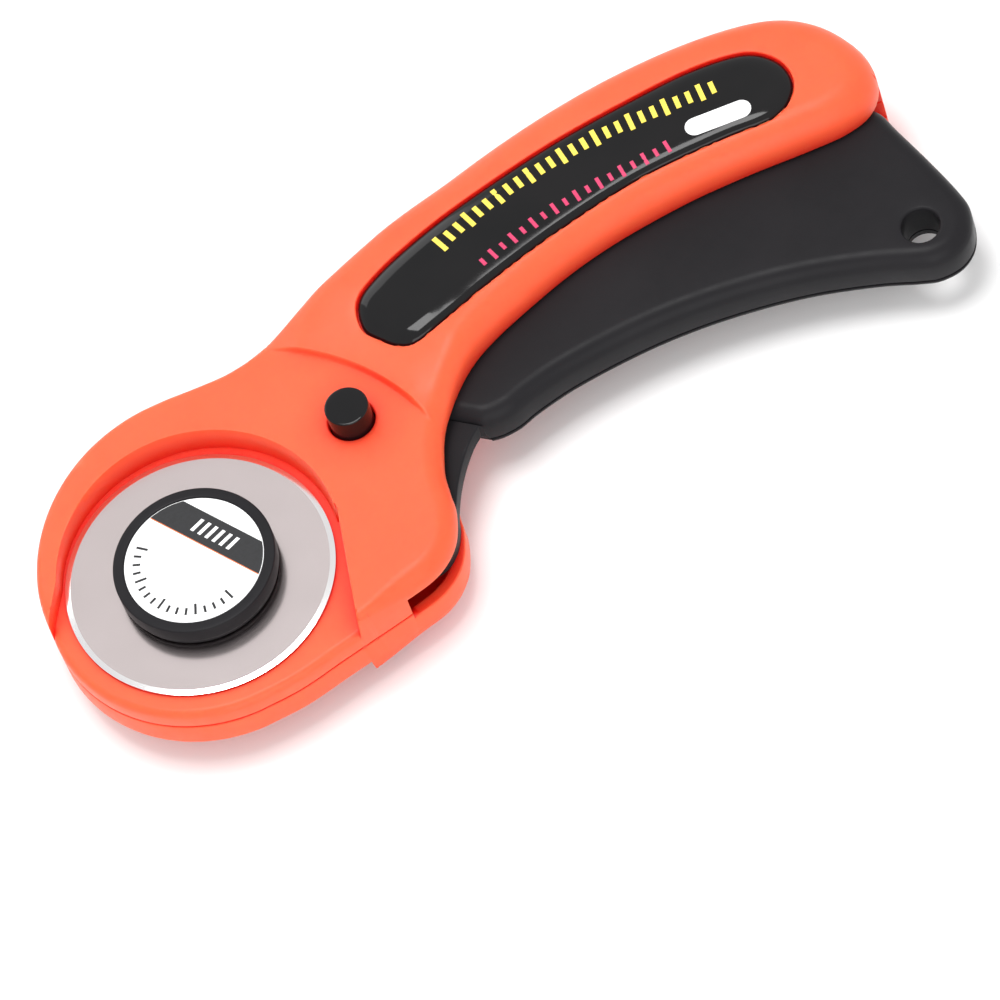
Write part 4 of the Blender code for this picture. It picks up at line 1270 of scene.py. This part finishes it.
def bar(centre, along, length, width, slant=0.0):
    """A slanted bar as an outline, centred, with its width along the given direction."""
    along = np.array(along, float)
    along /= np.linalg.norm(along)
    up = left_of(along)
    return np.array([centre + along * (a * width / 2 + b * slant / 2) + up * b * length / 2
                     for a, b in ((-1, -1), (1, -1), (1, 1), (-1, 1))])


BAND_TILT = -52.5                 # direction of the label's band, in degrees from X
BAND_LOW = 3.0
BAND_HIGH = 8.2
TICK_R = 10.2


def label_print():
    """Generic print on the hub's label: a dark band with slanted bars, and an arc of ticks."""
    along = heading(BAND_TILT)
    up = left_of(along)
    radius = LABEL_R - 0.02
    low_end = math.degrees(math.acos(BAND_LOW / radius))
    high_end = math.degrees(math.acos(BAND_HIGH / radius))
    base = BAND_TILT + 90
    band = np.vstack([arc((0, 0), radius, base - low_end, base - high_end, 8),
                      arc((0, 0), radius, base + high_end, base + low_end, 8)])
    on_hub_label("label_band", band, INK_BLACK, 0.03)
    half = math.sqrt(radius ** 2 - BAND_LOW ** 2)
    strip = bar(up * (BAND_LOW - 0.06), along, 0.14, half * 2 - 0.1)
    on_hub_label("label_band_line", strip, INK_ORANGE, 0.035)
    centre = (BAND_LOW + BAND_HIGH) / 2
    for k in range(6):
        at = up * centre + along * ((k - 2.5) * 1.45 + 0.3)
        on_hub_label(f"label_bar_{k + 1}", bar(at, along, 2.6, 0.62, 0.5), LABEL_WHITE, 0.06)
    for k in range(17):
        direction = heading(BAND_TILT + 195 + k * 150 / 16)
        size = 2.0 if k % 4 == 0 else 1.3
        tick = bar(direction * (TICK_R - size / 2), left_of(direction), size, 0.42)
        on_hub_label(f"label_tick_{k + 1}", tick, INK_BLACK, 0.03)


def along_row(points, share):
    """A point at a share of the way along a row of print, and the row's direction there."""
    line = spline(points, 0.5)
    run = np.concatenate([[0], np.cumsum(np.linalg.norm(np.diff(line, axis=0), axis=1))])
    at = np.array([share * run[-1], share * run[-1] - 0.5, share * run[-1] + 0.5])
    here, behind, ahead = np.stack([np.interp(at, run, line[:, k]) for k in (0, 1)], 1)
    return here, (ahead - behind) / np.linalg.norm(ahead - behind)


def on_panel(name, outline, mat):
    """A printed shape that follows the front panel's surface."""
    made = plate(name, np.array(outline, float), [],
                 lambda p: panel_height(p, PROUD) + 0.08,
                 lambda p: panel_height(p, PROUD) - 0.05, spacing=0.8)
    finish_piece(made, mat, "handle")


def rounded_bar(centre, along, length, width, count=12):
    """A bar with round ends, width long in the given direction."""
    along = np.array(along) / np.linalg.norm(along)
    tilt = math.degrees(math.atan2(along[1], along[0]))
    reach = (width - length) / 2
    right = arc(np.array(centre) + along * reach, length / 2, tilt - 90, tilt + 90, count)
    left = arc(np.array(centre) - along * reach, length / 2, tilt + 90, tilt + 270, count)
    return np.vstack([right, left])


def panel_print():
    """Generic print on the front panel: two rows of bars and a blank pill."""
    upper = [(55.5, 38.3), (62.0, 41.2), (71.4, 44.3), (86.4, 47.1), (106.5, 48.0)]
    for k in range(26):
        at, along = along_row(upper, k / 25)
        size = 3.4 if k % 3 == 0 else 2.4
        on_panel(f"panel_bar_{k + 1}", bar(at, along, size, 0.85), INK_GOLD)
    lower = [(61.0, 32.0), (69.0, 35.0), (78.0, 37.4), (96.0, 40.3)]
    for k in range(18):
        at, along = along_row(lower, k / 17)
        on_panel(f"panel_dash_{k + 1}", bar(at, along, 2.3 if k % 2 else 1.5, 0.65), INK_MAGENTA)
    on_panel("panel_pill", rounded_bar((105.5, 42.0), (1.0, 0.0), 3.4, 11.5), LABEL_WHITE)


# ---- stage

def stage_plane():
    """Plain pale floor."""
    mesh = bpy.data.meshes.new("floor")
    half = 4.0
    corners = [(-half, -half, 0), (half, -half, 0), (half, half, 0), (-half, half, 0)]
    mesh.from_pydata(corners, [], [(0, 1, 2, 3)])
    floor = add_object("floor", mesh)
    floor.location.z = CAD_LOW.z - 0.0002
    mat, tree, shader, where = start_material("floor", Specular_IOR_Level=0.2)
    cloud = noise(tree, where, 3.0, 3.0)
    tree.links.new(blend_colour(tree, cloud, (0.90, 0.90, 0.90), (0.885, 0.885, 0.885)),
                   shader.inputs["Base Color"])
    tree.links.new(remap(tree, cloud, 0.3, 0.7, 0.6, 0.7), shader.inputs["Roughness"])
    mesh.materials.append(mat)


def area_light(name, azimuth, elevation, distance, size, power):
    """A square soft light aimed at the middle of the tool; azimuth 0 is on the +Y side."""
    target = (CAD_LOW + CAD_HIGH) / 2
    a, e = math.radians(azimuth), math.radians(elevation)
    out = Vector((-math.sin(a) * math.cos(e), math.cos(a) * math.cos(e), math.sin(e)))
    data = bpy.data.lights.new(name, "AREA")
    data.size = size
    data.energy = power
    light = add_object(name, data)
    light.location = target + out * distance
    light.rotation_euler = out.to_track_quat("Z", "Y").to_euler()


def world_light(strength):
    world = bpy.data.worlds.new("studio")
    world.use_nodes = True
    background = world.node_tree.nodes["Background"]
    background.inputs["Color"].default_value = (1.0, 1.0, 1.0, 1.0)
    background.inputs["Strength"].default_value = strength
    bpy.context.scene.world = world


VIEW_AIM = (49.7, -7.54)          # where the view's middle meets the blade's plane
VIEW_DISTANCE = 1306.0
VIEW_AZIMUTH = 0.4
VIEW_ELEVATION = 57.46
VIEW_ROLL = -21.33
VIEW_LENS = 290.9


def camera():
    data = bpy.data.cameras.new("camera")
    data.sensor_width = 36.0
    data.lens = VIEW_LENS
    data.clip_start = 0.05
    data.clip_end = 20.0
    made = add_object("camera", data)
    a, e = math.radians(VIEW_AZIMUTH), math.radians(VIEW_ELEVATION)
    back = Vector((math.sin(a) * math.cos(e), -math.cos(a) * math.cos(e), math.sin(e)))
    turn = (-back).to_track_quat("-Z", "Y").to_matrix()
    turn = turn @ Matrix.Rotation(math.radians(VIEW_ROLL), 3, "Z")
    made.rotation_euler = turn.to_euler()
    made.location = place(*VIEW_AIM, 0) + back * VIEW_DISTANCE * MM
    bpy.context.scene.camera = made


# ---- assembly

stands_for(front_shell(), CORAL, "front_shell")
stands_for(rear_shell(), CORAL, "rear_shell")
stands_for(grip_panel("front_grip_panel_fine", True), GLOSS, "front_grip_panel")
stands_for(grip_panel("rear_grip_panel_fine", False), GLOSS, "rear_grip_panel")
stands_for(lever_body(), SATIN, "lever_body")
stands_for(lever_back(), SATIN, "lever_back")
blade()
hub_pieces()
wave_washer()
retaining_nut()
screws()
lock_button()
turned_inside()
return_spring()
dress_node("spring_seat", SATIN)
label_print()
panel_print()

stage_plane()
world_light(0.85)
area_light("overhead", 30, 84, 0.8, 0.35, 4.0)
area_light("back", 25, 30, 0.8, 0.5, 1.5)
area_light("front", 180, 28, 0.9, 0.6, 3.2)
camera()
bpy.context.scene.view_settings.view_transform = "Standard"
